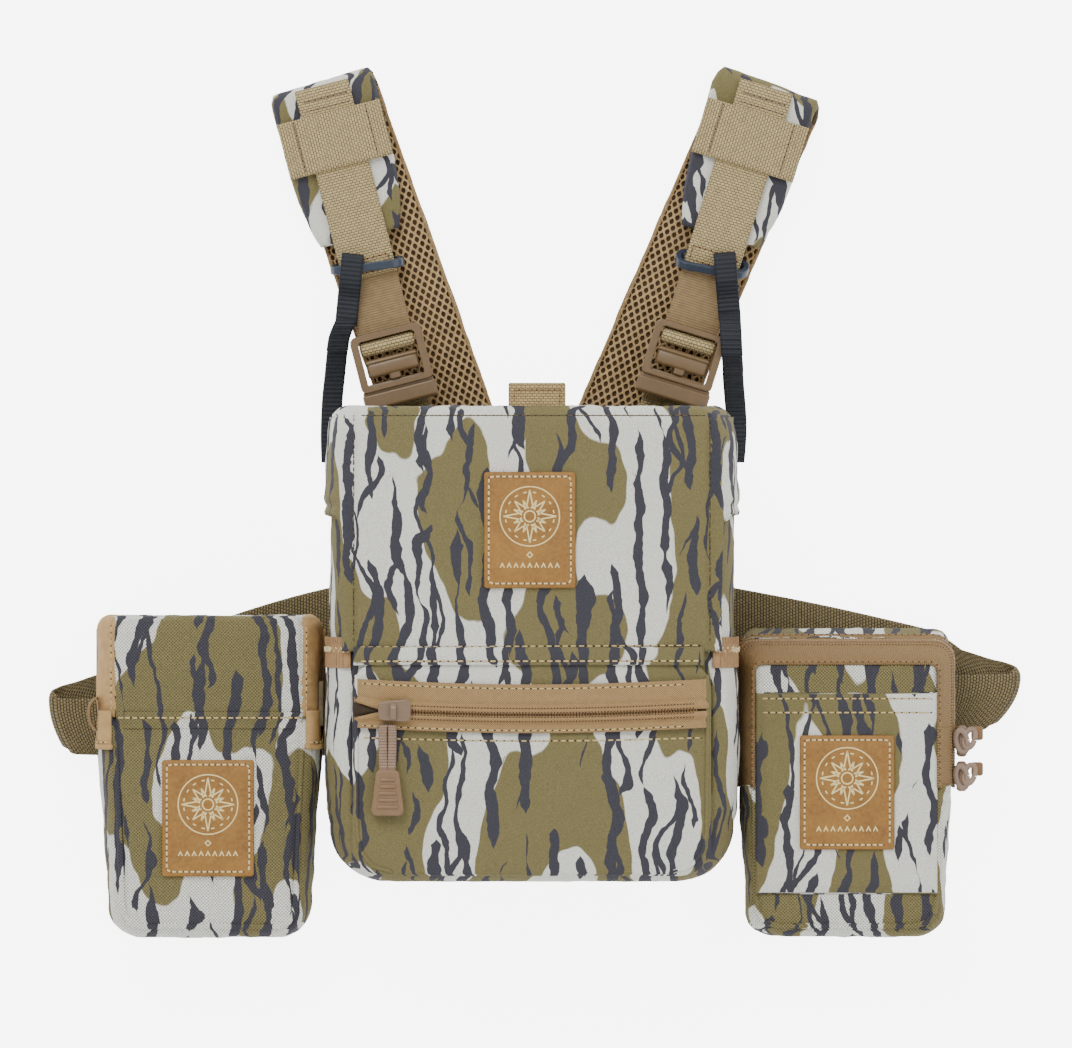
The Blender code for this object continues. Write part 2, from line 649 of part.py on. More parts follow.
def right_levels(inset):
    """Rings of the right pouch, with an upright rim at the zip."""
    rings = []
    for z, draw, low in ((13.0, 4.0, 3.0), (20.0, 0.0, 0.5), (RIM_Z + 4.0, 0.0, 0.0), (46.0, 2.4, 1.0),
                         (RIGHT_POUCH["front"], 6.0, 4.0)):
        z = min(max(z, POUCH_REAR_Z + inset), RIGHT_POUCH["front"] - inset)
        side = draw + inset
        rings.append((z, rectangle(RIGHT_POUCH["left"] + side, RIGHT_POUCH["right"] - side,
                                   RIGHT_POUCH["bottom"] + low + inset,
                                   RIGHT_POUCH["top"] - inset, 12.0, 6.5)))
    return rings


def right_pouch():
    """The zipped pouch on the right side strap."""
    body = mesh_piece("right_pouch_body", loft_mesh(stacked(right_levels(0.0))), "camo_canvas")
    cut(body, cutter("right_cavity", loft_mesh(stacked(right_levels(2.5)))))
    cut(body, cutter("door_space", block_mesh((80.0, DOOR_HINGE_Y - 0.4, RIM_Z), (200.0, 20.0, 80.0))))
    front = RIGHT_POUCH["front"]
    centre = (RIGHT_POUCH["left"] + RIGHT_POUCH["right"]) / 2
    half = (RIGHT_POUCH["right"] - RIGHT_POUCH["left"]) / 2
    profile = hood_profile(centre, half - 1.7, 42.0, RIM_Z + 1.8, 43.0, front - 1.2)
    levels = [DOOR_HINGE_Y + 0.8, -20.0, RIGHT_POUCH["top"] - 2.2]
    lows = {"panel": levels[0], "corner": levels[0], "wing": levels[0]}
    door = hood("right_pouch_door", profile, levels, lows, 0.45, "camo_canvas", 1.7)
    tape_body = sheet("right_zip_tape_body", [[(x, y, z) for x, y in zip_path(0.8)] for z in (27.0, 33.8)],
                      0.8, "zip_tape", (1.0, 0.0, 0.0))
    coil = sheet("right_zip_coil", [[(x, y, z) for x, y in zip_path(1.6)] for z in (34.3, 36.1)],
                 1.6, "zip_tape", (1.0, 0.0, 0.0))
    surface = front + 1.4
    low_outline = rectangle(100.0, 179.0, -112.0, DOOR_HINGE_Y - 1.2, 3.0, 1.0, 2)
    high_outline = rectangle(100.0, 179.0, DOOR_HINGE_Y + 1.2, -22.0, 1.0, 3.0, 2)
    low_pocket = plate("right_pocket_lower", [low_outline], surface - 1.0, surface, "camo_fabric")
    high_pocket = plate("right_pocket_upper", [high_outline], surface + 0.2, surface + 1.2, "camo_fabric")
    patch = plate("right_pouch_patch", [rectangle(119.6, 161.8, -92.0, -41.0, 2.5, 2.5, 3)],
                  surface + GAP, surface + GAP + 2.0, "leather_patch")
    strip = belt_loop("right_belt_loop", RIGHT_POUCH, -28.0, 114.0, 166.0)
    side = RIGHT_POUCH["right"] + 3.0
    hinge = hang("right_door_axis", (centre, DOOR_HINGE_Y, DOOR_HINGE_Z), [door, high_pocket])
    slide_place = (centre, SIDE_STRAP["right"][0][0][1], STRAP_FRONT_Z)
    slide = hang("right_pouch_axis", slide_place, [body, tape_body, coil, low_pocket, patch, strip])
    carry(hinge, slide, slide_place)
    for name, y0, y1, pull_y0, pull_y1 in (("upper", -51.0, -37.0, -46.0, -38.0),
                                           ("lower", -66.5, -53.0, -62.0, -54.0)):
        slider = block(f"right_slider_{name}", (side, y0, 31.0), (side + 4.6, y1, 39.4), "zip_grip", 1.0)
        pull = block(f"right_pull_{name}", (side + 5.0, pull_y0, 33.0), (side + 11.0, pull_y1, 37.4),
                     "zip_grip", 1.0)
        swing_axis = hang(f"right_pull_{name}_axis", (side + 4.9, pull_y0, 35.2), [pull])
        run_place = (side, (y0 + y1) / 2, 35.2)
        run_axis = hang(f"right_slider_{name}_axis", run_place, [slider])
        carry(swing_axis, run_axis, run_place)
        carry(run_axis, slide, slide_place)


# ---------------------------------------------------------------- the whole

back_yoke()
for SIDE in ("left", "right"):
    shoulder_pad(SIDE)
    harness_front(SIDE)
    hang(f"keeper_{SIDE}_axis", on_front(SIDE, 0.0, RING_V, RING_Z), [keeper_ring(SIDE), tether(SIDE)])
    side_strap(SIDE)
pack_shell()
block("pack_back_pad", (-61.0, -94.0, 6.9), (61.0, 78.0, 9.9), "air_mesh", 1.0)
side_pocket(-1.0, "left")
side_pocket(1.0, "right")
main_lid()
front_pocket()
left_pouch()
right_pouch()
bpy.context.view_layer.update()
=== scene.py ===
"""Looks of the binocular harness pack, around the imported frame.

Working unit: millimetres, in the frame's own axes; meshes are written in metres.
"""

import math

import bmesh
import bpy
from mathutils import Matrix, Vector, noise
from mathutils.bvhtree import BVHTree


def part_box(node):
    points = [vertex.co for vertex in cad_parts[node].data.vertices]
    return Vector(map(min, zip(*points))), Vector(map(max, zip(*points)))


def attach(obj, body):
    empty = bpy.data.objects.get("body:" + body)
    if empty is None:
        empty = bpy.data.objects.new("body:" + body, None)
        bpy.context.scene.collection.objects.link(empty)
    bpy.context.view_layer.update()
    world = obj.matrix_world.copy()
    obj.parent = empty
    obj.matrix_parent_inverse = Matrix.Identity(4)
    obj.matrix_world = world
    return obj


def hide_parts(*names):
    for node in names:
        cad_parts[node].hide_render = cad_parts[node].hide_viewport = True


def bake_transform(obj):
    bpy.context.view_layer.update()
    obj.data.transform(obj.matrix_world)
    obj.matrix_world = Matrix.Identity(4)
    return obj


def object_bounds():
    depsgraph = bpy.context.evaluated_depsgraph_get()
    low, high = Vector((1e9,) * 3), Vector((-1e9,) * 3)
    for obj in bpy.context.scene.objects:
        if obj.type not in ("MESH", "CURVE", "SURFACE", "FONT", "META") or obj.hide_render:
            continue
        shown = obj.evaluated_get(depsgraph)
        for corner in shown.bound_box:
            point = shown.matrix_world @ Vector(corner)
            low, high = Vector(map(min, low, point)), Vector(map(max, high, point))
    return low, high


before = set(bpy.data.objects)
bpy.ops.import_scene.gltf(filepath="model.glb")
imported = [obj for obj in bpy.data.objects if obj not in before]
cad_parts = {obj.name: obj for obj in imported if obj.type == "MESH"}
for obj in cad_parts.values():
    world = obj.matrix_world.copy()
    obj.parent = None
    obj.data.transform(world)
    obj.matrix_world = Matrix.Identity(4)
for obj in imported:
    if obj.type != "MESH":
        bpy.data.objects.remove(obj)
CAD_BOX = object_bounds()
MM = 0.001

LENS = 372.0
CAMERA_OFFSET = Vector((0.0006, -0.0112, 5.0))
FLOOR_SIZE = 6.0
FLOOR_GLOW, FLOOR_GLOW_SEEN = 0.9, 5.0
SKY_STRENGTH = 0.85
# Each lamp: name, place from the middle of the object in metres, watts, size in metres
LAMPS = (
    ("key", (-0.5, 1.1, 1.5), 21.0, 1.0),
    ("fill", (1.1, 0.2, 1.3), 7.0, 1.4),
    ("front", (-0.1, -1.2, 1.3), 5.0, 1.4),
)

# Two points across each fold, where the cloth over it starts and stops, in metres
LID_FOLD = (0, -0.0085, 0.0905), (0, -0.0015, 0.0905)
LEFT_LID_FOLD = (0, -0.0372, 0.059), (0, -0.0310, 0.059)
DOOR_FOLD = (0, -0.0395, 0.055), (0, -0.0345, 0.055)


def box_mm(node):
    """A node's box at rest: its low and high corners in millimetres."""
    low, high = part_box(node)
    return Vector(low) / MM, Vector(high) / MM


# ---------------------------------------------------------------- camera, light, floor

def stage():
    """A camera straight above, a pale floor and soft studio light."""
    low, high = (Vector(corner) for corner in CAD_BOX)
    camera = bpy.data.cameras.new("camera")
    camera.sensor_width = 36.0
    camera.lens = LENS
    camera.clip_end = 20.0
    view = bpy.data.objects.new("camera", camera)
    bpy.context.scene.collection.objects.link(view)
    middle = (low + high) / 2
    view.location = Vector((middle.x, middle.y, 0.0)) + CAMERA_OFFSET
    bpy.context.scene.camera = view

    bpy.ops.mesh.primitive_plane_add(size=FLOOR_SIZE, location=(middle.x, middle.y, low.z - 0.0003))
    floor = bpy.context.object
    floor.name = "floor"
    paint = Surface("floor_paint", (0.95, 0.95, 0.95), 0.9)
    paint.shader.inputs["Emission Color"].default_value = (1.0, 1.0, 1.0, 1.0)
    # The floor looks white, but throws back only a pale floor's light
    seen = paint.node("LightPath")
    glow = paint.math("MULTIPLY_ADD", seen, FLOOR_GLOW_SEEN, FLOOR_GLOW)
    paint.put(paint.shader.inputs["Emission Strength"], glow)
    floor.data.materials.append(paint.mat)

    for name, spot, power, size in LAMPS:
        light = bpy.data.lights.new(name, "AREA")
        light.energy = power
        light.size = size
        lamp = bpy.data.objects.new(name, light)
        lamp.location = Vector(spot) + middle
        lamp.rotation_euler = Vector(spot).to_track_quat("Z", "Y").to_euler()
        bpy.context.scene.collection.objects.link(lamp)

    world = bpy.data.worlds.new("studio")
    world.use_nodes = True
    sky = world.node_tree.nodes["Background"]
    sky.inputs["Color"].default_value = (1.0, 1.0, 1.0, 1.0)
    sky.inputs["Strength"].default_value = SKY_STRENGTH
    bpy.context.scene.world = world


# ---------------------------------------------------------------- materials

class Surface:
    """A Principled material with short calls for its nodes."""

    def __init__(self, name, colour, roughness, metallic=0.0):
        self.mat = bpy.data.materials.new(name)
        self.mat.use_nodes = True
        self.tree = self.mat.node_tree
        self.shader = self.tree.nodes["Principled BSDF"]
        self.shader.inputs["Base Color"].default_value = (*colour, 1.0)
        self.shader.inputs["Roughness"].default_value = roughness
        self.shader.inputs["Metallic"].default_value = metallic

    def node(self, kind, output=0, settings=None, **inputs):
        """Add a node, set or link its inputs, and return one output socket."""
        made = self.tree.nodes.new("ShaderNode" + kind)
        for key, value in (settings or {}).items():
            setattr(made, key, value)
        for key, value in inputs.items():
            socket = made.inputs[int(key[1:])] if key[0] == "_" else made.inputs[key.replace("__", " ")]
            self.put(socket, value)
        return made.outputs[output]

    def put(self, socket, value):
        """Link a socket, or set its value."""
        if isinstance(value, bpy.types.NodeSocket):
            self.tree.links.new(value, socket)
        else:
            socket.default_value = value

    def math(self, operation, first, second=0.0, third=0.0):
        """One Math node."""
        return self.node("Math", settings={"operation": operation}, _0=first, _1=second, _2=third)

    def scaled(self, source, scale, offset=(0.0, 0.0, 0.0)):
        """Coordinates scaled and moved."""
        return self.node("Mapping", Vector=source, Scale=scale, Location=offset)

    def noise(self, source, scale=1.0, detail=2.0, rough=0.5):
        """A noise value about one half."""
        return self.node("TexNoise", Vector=source, Scale=scale, Detail=detail, Roughness=rough)

    def step(self, value, low, high):
        """A clamped ramp from 0 at low to 1 at high."""
        return self.node("MapRange", Value=value, _1=low, _2=high, _3=0.0, _4=1.0)

    def mix(self, share, first, second, blend="MIX"):
        """One colour mixed into another."""
        return self.node("Mix", output=2, settings={"data_type": "RGBA", "blend_type": blend},
                         _0=share, _6=first, _7=second)

    def bump(self, height, strength, distance):
        """A bump in the shader's normal."""
        made = self.node("Bump", Strength=strength, Distance=distance, Height=height)
        self.tree.links.new(made, self.shader.inputs["Normal"])

    def colour(self, value):
        """The base colour."""
        self.put(self.shader.inputs["Base Color"], value)

    def object_coords(self):
        """Coordinates in the frame, in metres."""
        return self.node("TexCoord", output=3)

    def uv(self):
        """Coordinates along a strap, in millimetres."""
        return self.node("TexCoord", output=2)


def rgb(red, green, blue):
    """An sRGB colour of 0 to 255 as a linear colour with alpha."""
    def linear(value):
        share = value / 255
        return share / 12.92 if share <= 0.04045 else ((share + 0.055) / 1.055) ** 2.4
    return (linear(red), linear(green), linear(blue), 1.0)


LIGHT = rgb(226, 226, 217)
OLIVE = rgb(119, 110, 70)
SLATE = rgb(60, 59, 68)


def camo(name, weave_pitch, weave_depth, grain, middle, front, offset=(0.0, 0.0, 0.0)):
    """Bark-like camouflage of three colours: smooth blobs and ragged upright streaks."""
    s = Surface(name, LIGHT[:3], 0.9)
    place = s.scaled(s.object_coords(), (1000.0, 1000.0, 1000.0), [1000 * v for v in offset])
    parts = s.node("SeparateXYZ", _0=place).node.outputs
    # The print runs on round the sides, the bottom and the top of each bag
    depth = s.math("MULTIPLY", s.math("SUBTRACT", parts[2], front), 0.8)
    off_middle = s.math("SUBTRACT", parts[0], s.math("MULTIPLY", s.math("SIGN", parts[0]), middle))
    facing = s.node("SeparateXYZ", _0=s.node("TexCoord", output=1)).node.outputs
    on_end = s.step(s.math("ABSOLUTE", facing[1]), 0.5, 0.75)
    side = s.node("MapRange", Value=off_middle, _1=-30.0, _2=30.0, _3=1.0, _4=-1.0)
    side = s.math("MULTIPLY", side, s.math("SUBTRACT", 1.0, on_end))
    across = s.math("MULTIPLY_ADD", depth, side, parts[0])
    end = s.node("MapRange", Value=parts[1], _1=-100.0, _2=-10.0, _3=1.0, _4=-1.0)
    end = s.math("MULTIPLY", end, on_end)
    down = s.math("MULTIPLY_ADD", depth, end, parts[1])
    flat = s.node("CombineXYZ", _0=across, _1=down, _2=0.0)

    def wave(scale, move, detail=1.0):
        return s.noise(s.scaled(flat, (*scale, 1.0), (*move, 0.0)), 1.0, detail)

    blob = wave((0.031, 0.0145), (3.1, 0.7), 0.3)
    edge = wave((0.16, 0.12), (5.1, 2.7), 0.0)
    olive = s.step(s.math("MULTIPLY_ADD", edge, 0.035, blob), 0.512, 0.519)

    def streaks(pitch, widest, lean, seed, often):
        sway = s.math("MULTIPLY_ADD", wave((0.018, 0.030), (seed, 1.0)), 1.5 * pitch, across)
        ragged = s.math("MULTIPLY_ADD", wave((0.24, 0.15), (1.0, seed), 1.6), 3.0, sway)
        place_u = s.math("DIVIDE", s.math("MULTIPLY_ADD", down, lean, ragged), pitch)
        number = s.math("FLOOR", place_u)
        away = s.math("ABSOLUTE", s.math("SUBTRACT", s.math("FRACT", place_u), 0.5))
        line = s.node("CombineXYZ", _0=s.math("MULTIPLY", number, 7.31), _1=s.math("MULTIPLY", down, 0.022),
                      _2=seed)
        length = s.noise(line, 1.0, 1.6, 0.6)
        swell = s.math("MULTIPLY_ADD", wave((0.05, 0.09), (seed, seed), 1.0), 1.1, 0.38)
        width = s.math("MULTIPLY", s.step(length, often, often + 0.055), swell)
        width = s.math("MULTIPLY", width, widest / pitch)
        return s.step(s.math("SUBTRACT", width, away), 0.012, 0.012 + 0.16 / pitch)

    slate = s.math("MAXIMUM", streaks(13.0, 2.5, 0.02, 2.2, 0.455), streaks(23.0, 2.1, -0.05, 8.4, 0.475))
    slate = s.math("MAXIMUM", slate, streaks(18.0, 1.5, 0.06, 5.5, 0.47))
    colour = s.mix(olive, LIGHT, OLIVE)
    colour = s.mix(slate, colour, SLATE)
    speck = s.noise(place, 1.9, 1.5)
    tone = s.step(speck, 0.25, 0.75)
    speckled = s.mix(1.0, colour, s.mix(tone, (0.5, 0.5, 0.48, 1), (1.35, 1.35, 1.35, 1)), "MULTIPLY")
    colour = s.mix(grain, colour, speckled)
    # Threads cross on every face, whatever way it faces
    rate = 2 * math.pi / weave_pitch
    waves = [s.math("SINE", s.math("MULTIPLY", part, rate)) for part in parts]
    turned = [s.math("POWER", s.math("ABSOLUTE", way), 2.0) for way in facing]
    weave = 0.0
    for first, second, way in ((0, 1, 2), (1, 2, 0), (0, 2, 1)):
        crossing = s.math("MULTIPLY", waves[first], waves[second])
        weave = s.math("MULTIPLY_ADD", crossing, turned[way], weave)
    # Painted shade and painted highlight: the weave's hollows are darkened and its crests lightened in the
    # colour; grain also sets how strong this is
    dark = s.mix(s.step(weave, -0.7, 0.35), (0.42, 0.41, 0.39, 1), (1.2, 1.2, 1.2, 1))
    s.colour(s.mix(min(grain * 1.5, 1.0), colour, s.mix(1.0, colour, dark, "MULTIPLY")))
    rough = s.noise(place, 0.7, 3.0)
    s.bump(s.math("MULTIPLY_ADD", weave, 0.5, rough), 0.6, weave_depth * MM)
    return s.mat


def woven(name, light, dark, row, column, depth=0.25, rough=0.85, gap=0.16):
    """Webbing: staggered rows of threads across a strap, from its own coordinates."""
    s = Surface(name, light[:3], rough)
    place = s.uv()
    wobble = s.node("TexNoise", output=1, Vector=place, Scale=0.7, Detail=1.0)
    place = s.node("VectorMath", settings={"operation": "MULTIPLY_ADD"}, _0=wobble,
                   _1=(0.25, 0.25, 0.0), _2=place)
    parts = s.node("SeparateXYZ", _0=place).node.outputs
    line = s.math("DIVIDE", parts[1], row)
    stagger = s.math("MULTIPLY", s.math("FLOOR", line), 0.5)
    ridge = s.math("ABSOLUTE", s.math("SINE", s.math("MULTIPLY", line, math.pi)))
    dash = s.math("MULTIPLY", s.math("ADD", s.math("DIVIDE", parts[0], column), stagger), math.pi)
    dash = s.math("ABSOLUTE", s.math("SINE", dash))
    yarn = s.math("POWER", ridge, 0.7) if row < 10.0 else 1.0
    if column < 10.0:
        yarn = s.math("MULTIPLY", s.math("POWER", dash, 0.5), yarn)
    tone = s.noise(place, 0.35, 3.0)
    base = s.mix(s.step(tone, 0.3, 0.7), light, tuple(channel * 0.78 for channel in light[:3]) + (1.0,))
    # Painted shade: where the yarn is low, between threads and ribs, the colour falls to the dark tone
    shade = s.step(yarn, gap, gap + 0.45)
    s.colour(s.mix(shade, dark, base))
    fibre = s.noise(place, 9.0, 2.0)
    height = s.math("ADD", yarn, s.math("MULTIPLY", fibre, 0.35))
    s.bump(height, 0.8, depth * MM)
    return s.mat


def twill(name, light, dark, pitch, band):
    """Zip tape: fine slanting ribs that turn back at each band across its width."""
    s = Surface(name, light[:3], 0.85)
    parts = s.node("SeparateXYZ", _0=s.uv()).node.outputs
    slant = s.math("PINGPONG", s.math("ADD", parts[0], 40.0), band)
    wave = s.math("SINE", s.math("MULTIPLY", s.math("ADD", parts[1], slant), 2 * math.pi / pitch))
    tone = s.step(s.noise(s.uv(), 0.4, 3.0), 0.3, 0.7)
    base = s.mix(tone, light, tuple(channel * 0.85 for channel in light[:3]) + (1.0,))
    # Painted shade: the ribs' hollows take the dark colour, their crests the light one
    s.colour(s.mix(s.step(wave, -0.8, 0.7), dark, base))
    s.bump(wave, 0.7, 0.14 * MM)
    return s.mat


def plain(name, colour, rough, mottle=0.1, bump_scale=900.0, bump_depth=0.05, metallic=0.0, sheen=0.0):
    """A moulded or plain surface with fine mottling and grain."""
    s = Surface(name, colour[:3], rough, metallic)
    place = s.object_coords()
    tone = s.step(s.noise(place, 260.0, 3.0), 0.3, 0.7)
    darker = tuple(channel * (1 - 2 * mottle) for channel in colour[:3]) + (1.0,)
    s.colour(s.mix(tone, darker, colour))
    s.bump(s.noise(place, bump_scale, 3.0), 0.35, bump_depth * MM)
    s.shader.inputs["Sheen Weight"].default_value = sheen
    return s.mat


def leather(name):
    """Waxed tan leather with pores and a clouded tone."""
    tan = rgb(152, 106, 38)
    s = Surface(name, tan[:3], 0.55)
    place = s.object_coords()
    cloud = s.step(s.noise(place, 90.0, 4.0, 0.6), 0.3, 0.75)
    fine = s.step(s.noise(place, 650.0, 3.0), 0.3, 0.7)
    colour = s.mix(cloud, rgb(124, 82, 26), tan)
    colour = s.mix(s.math("MULTIPLY", fine, 0.3), colour, rgb(182, 138, 66))
    s.colour(colour)
    cells = s.node("TexVoronoi", Vector=place, Scale=1400.0)
    s.bump(s.math("ADD", cells, s.noise(place, 300.0, 3.0)), 0.5, 0.12 * MM)
    return s.mat


def mesh_cloth(name, light, dark):
    """Air mesh cloth for faces where its holes are only shallow."""
    s = Surface(name, light[:3], 0.9)
    place = s.scaled(s.object_coords(), (1.0, 0.7, 1.0))
    cells = s.node("TexVoronoi", Vector=place, Scale=330.0, Randomness=0.15)
    hole = s.step(cells, 0.42, 0.30)
    # The holes are coloured dark: painted shade for the depth they lack
    s.colour(s.mix(hole, light, dark))
    s.bump(s.math("SUBTRACT", 1.0, hole), 0.8, 0.5 * MM)
    return s.mat


def make_materials():
    """Every finish, by name."""
    return {
        "camo_fabric": camo("camo_brushed", 0.55, 0.06, 0.52, 0.0, 88.0),
        "camo_canvas": camo("camo_canvas", 1.5, 0.3, 0.66, 142.0, 56.0),
        "camo_strap": camo("camo_strap", 0.9, 0.15, 0.42, 0.0, 12.0),
        "lining": plain("lining", rgb(120, 108, 80), 0.9, 0.1, 1500.0, 0.1),
        "webbing": woven("webbing_weave", rgb(197, 176, 128), rgb(78, 62, 34), 1.2, 2.0, 0.4, 0.85, 0.12),
        "belt_webbing": woven("belt_webbing", rgb(188, 162, 112), rgb(78, 62, 34), 1.2, 2.0, 0.4, 0.85, 0.12),
        "fine_elastic": woven("fine_elastic", rgb(150, 125, 88), rgb(104, 84, 56), 1.15, 30.0, 0.2),
        "side_elastic": woven("side_elastic", rgb(142, 126, 88), rgb(34, 28, 18), 1.35, 1.5, 0.5, 0.9, 0.2),
        "hem_elastic": woven("hem_elastic", rgb(172, 134, 92), rgb(84, 60, 34), 30.0, 1.1, 0.4, 0.85, 0.1),
        "wing_cloth": plain("wing_cloth", rgb(188, 151, 98), 0.85, 0.1, 1400.0, 0.2),
        "mesh": plain("mesh_yarn", rgb(190, 160, 114), 0.85, 0.18, 1600.0, 0.14),
        "edge_cloth": plain("edge_cloth", rgb(150, 122, 82), 0.85, 0.1, 1400.0, 0.15),
        # The pads' inner face under the air mesh: dark brown as painted shade, seen through the holes
        "mesh_dark": plain("mesh_backing_shade", rgb(74, 54, 30), 0.95, 0.2),
        "mesh_cloth": mesh_cloth("mesh_cloth", rgb(168, 138, 90), rgb(70, 52, 30)),
        "buckle": plain("buckle_plastic", rgb(116, 93, 64), 0.34, 0.05, 2200.0, 0.03),
        "dark_plastic": plain("dark_plastic", rgb(50, 60, 76), 0.26, 0.08, 1500.0, 0.02),
        # Its lighter rib crests are painted highlight, its near-black grooves painted shade
        "tether": woven("tether_weave", rgb(18, 25, 38), rgb(2, 4, 8), 2.0, 30.0, 0.35, 0.6, 0.3),
        "zip_tape": twill("zip_tape_twill", rgb(188, 154, 104), rgb(132, 102, 64), 1.0, 3.3),
        "pouch_tape": twill("pouch_zip_tape_twill", rgb(164, 131, 82), rgb(96, 74, 44), 1.2, 2.9),
        "coil": plain("coil_nylon", rgb(150, 118, 78), 0.4, 0.08),
        "coil_dark": plain("coil_shadow", rgb(58, 44, 30), 0.9, 0.1),
        "slider": plain("slider_metal", rgb(130, 108, 87), 0.28, 0.06),
        "grip": plain("grip_rubber", rgb(132, 103, 72), 0.42, 0.06, 1200.0, 0.04),
        "block": plain("pull_block", rgb(128, 92, 54), 0.45, 0.06, 1200.0, 0.04),
        "cord": woven("pull_cord", rgb(166, 138, 116), rgb(96, 76, 60), 1.3, 0.9, 0.3, 0.8, 0.1),
        "pull_cord": plain("pull_loop", rgb(150, 126, 108), 0.35, 0.08),
        "leather": leather("patch_leather"),
        "foil": plain("patch_foil", rgb(240, 216, 150), 0.3, 0.05, 900.0, 0.02),
        # Painted shade for the needle holes of the leather's stitches
        "leather_hole_shade": plain("leather_hole_shade", rgb(96, 60, 20), 0.8, 0.1),
        "thread_cream": plain("thread_cream", rgb(232, 212, 160), 0.6, 0.08),
        "thread_pale": plain("thread_pale", rgb(212, 186, 128), 0.7, 0.1),
        "thread_tan": plain("thread_tan", rgb(150, 116, 78), 0.7, 0.1),
        "thread_mauve": plain("thread_mauve", rgb(134, 108, 92), 0.7, 0.1),
        "thread_dark": plain("thread_dark", rgb(92, 78, 52), 0.8, 0.1),
        "hook": plain("hook_tape", rgb(112, 100, 74), 0.95, 0.25, 700.0, 0.6),
        # Painted shade for stitches' needle holes, unless they are given another
        "needle": plain("needle_hole_shade", rgb(48, 38, 26), 0.95, 0.05),
        "steel": plain("magnet_steel", rgb(170, 170, 172), 0.3, 0.05, 900.0, 0.01, 1.0),
    }


# ---------------------------------------------------------------- mesh tools

def as_list(value):
    """A list as it is, and anything else as a list of one."""
    return value if isinstance(value, (list, tuple)) else [value]


def add_mesh(name, points, faces, mats, slots=None):
    """An object from points in millimetres, smooth shaded."""
    mesh = bpy.data.meshes.new(name)
    mesh.from_pydata([tuple(Vector(p) * MM) for p in points], [], faces)
    for mat in as_list(mats):
        mesh.materials.append(mat)
    for polygon in mesh.polygons:
        polygon.use_smooth = True
        if slots:
            polygon.material_index = slots[polygon.index]
    piece = bpy.data.objects.new(name, mesh)
    bpy.context.scene.collection.objects.link(piece)
    return piece


def lay_uv(piece, uvs):
    """Give each point its own coordinates along a strap, in millimetres."""
    layer = piece.data.uv_layers.new(name="along")
    for loop in piece.data.loops:
        layer.data[loop.index].uv = uvs[loop.vertex_index]


def spots(piece):
    """A piece's points in millimetres."""
    return [vertex.co / MM for vertex in piece.data.vertices]


def quads(rows, count, base=0, closed=True):
    """Faces between rows of points; in a closed row the last point joins the first."""
    faces = []
    for r in range(rows - 1):
        here, above = base + r * count, base + (r + 1) * count
        for k in range(count if closed else count - 1):
            after = (k + 1) % count
            faces.append((here + k, here + after, above + after, above + k))
    return faces


def end_caps(rows, count, base=0):
    """Faces that close the first and the last of some rings."""
    return [tuple(base + k for k in reversed(range(count))),
            tuple(base + (rows - 1) * count + k for k in range(count))]


def change_mesh(piece, change):
    """Change a piece's mesh with bmesh."""
    bm = bmesh.new()
    bm.from_mesh(piece.data)
    change(bm)
    bm.to_mesh(piece.data)
    bm.free()


def place(piece, body, slot, *nodes):
    """Ride on a body and stand for CAD nodes; slot is not used."""
    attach(piece, body)
    if nodes:
        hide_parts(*nodes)
    return piece


def stretch(piece, bodies, ends, slot, *nodes):
    """Bake a piece's place into its mesh and stand for CAD nodes as in place; bodies, ends and slot are not
    used.
    """
    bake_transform(piece)
    if nodes:
        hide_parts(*nodes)


def apply(piece):
    """Apply all of a piece's modifiers."""
    graph = bpy.context.evaluated_depsgraph_get()
    made = bpy.data.meshes.new_from_object(piece.evaluated_get(graph))
    piece.modifiers.clear()
    old = piece.data
    piece.data = made
    bpy.data.meshes.remove(old)
    for polygon in piece.data.polygons:
        polygon.use_smooth = True
    return piece


def catmull(points, t):
    """A point on the Catmull-Rom curve through the points, t from 0 to len - 1."""
    last = len(points) - 1
    k = min(int(t), last - 1)
    f = t - k
    a = points[max(k - 1, 0)]
    b = points[k]
    c = points[k + 1]
    d = points[min(k + 2, last)]
    return 0.5 * (2 * b + (c - a) * f + (2 * a - 5 * b + 4 * c - d) * f * f
                  + (3 * b - a - 3 * c + d) * f ** 3)


def distances(points):
    """How far along a line each of its points is."""
    far = [0.0]
    for a, b in zip(points, points[1:]):
        far.append(far[-1] + (b - a).length)
    return far


def locate(far, want, k=0):
    """The stretch of a line that holds a distance, from stretch k on, and the share passed."""
    while k < len(far) - 2 and far[k + 1] < want:
        k += 1
    return k, (want - far[k]) / max(far[k + 1] - far[k], 1e-9)


def along(points, step):
    """Parameters of evenly spaced places on a Catmull-Rom curve, and their distances."""
    fine = 24
    last = len(points) - 1
    params = [k / fine for k in range(last * fine + 1)]
    far = distances([catmull(points, t) for t in params])
    count = max(2, round(far[-1] / step))
    result, k = [], 0
    for n in range(count + 1):
        want = far[-1] * n / count
        k, share = locate(far, want, k)
        result.append((params[k] + (params[k + 1] - params[k]) * share, want))
    return result


def strap_section(thick, columns, edge):
    """A strap's section, as shares of the width with heights."""
    top = [(-0.5 + edge + (1 - 2 * edge) * k / columns) for k in range(columns + 1)]
    points = [(-0.5, 0.0)] + [(a, thick / 2) for a in top] + [(0.5, 0.0)]
    points += [(a, -thick / 2) for a in reversed(top)]
    return points


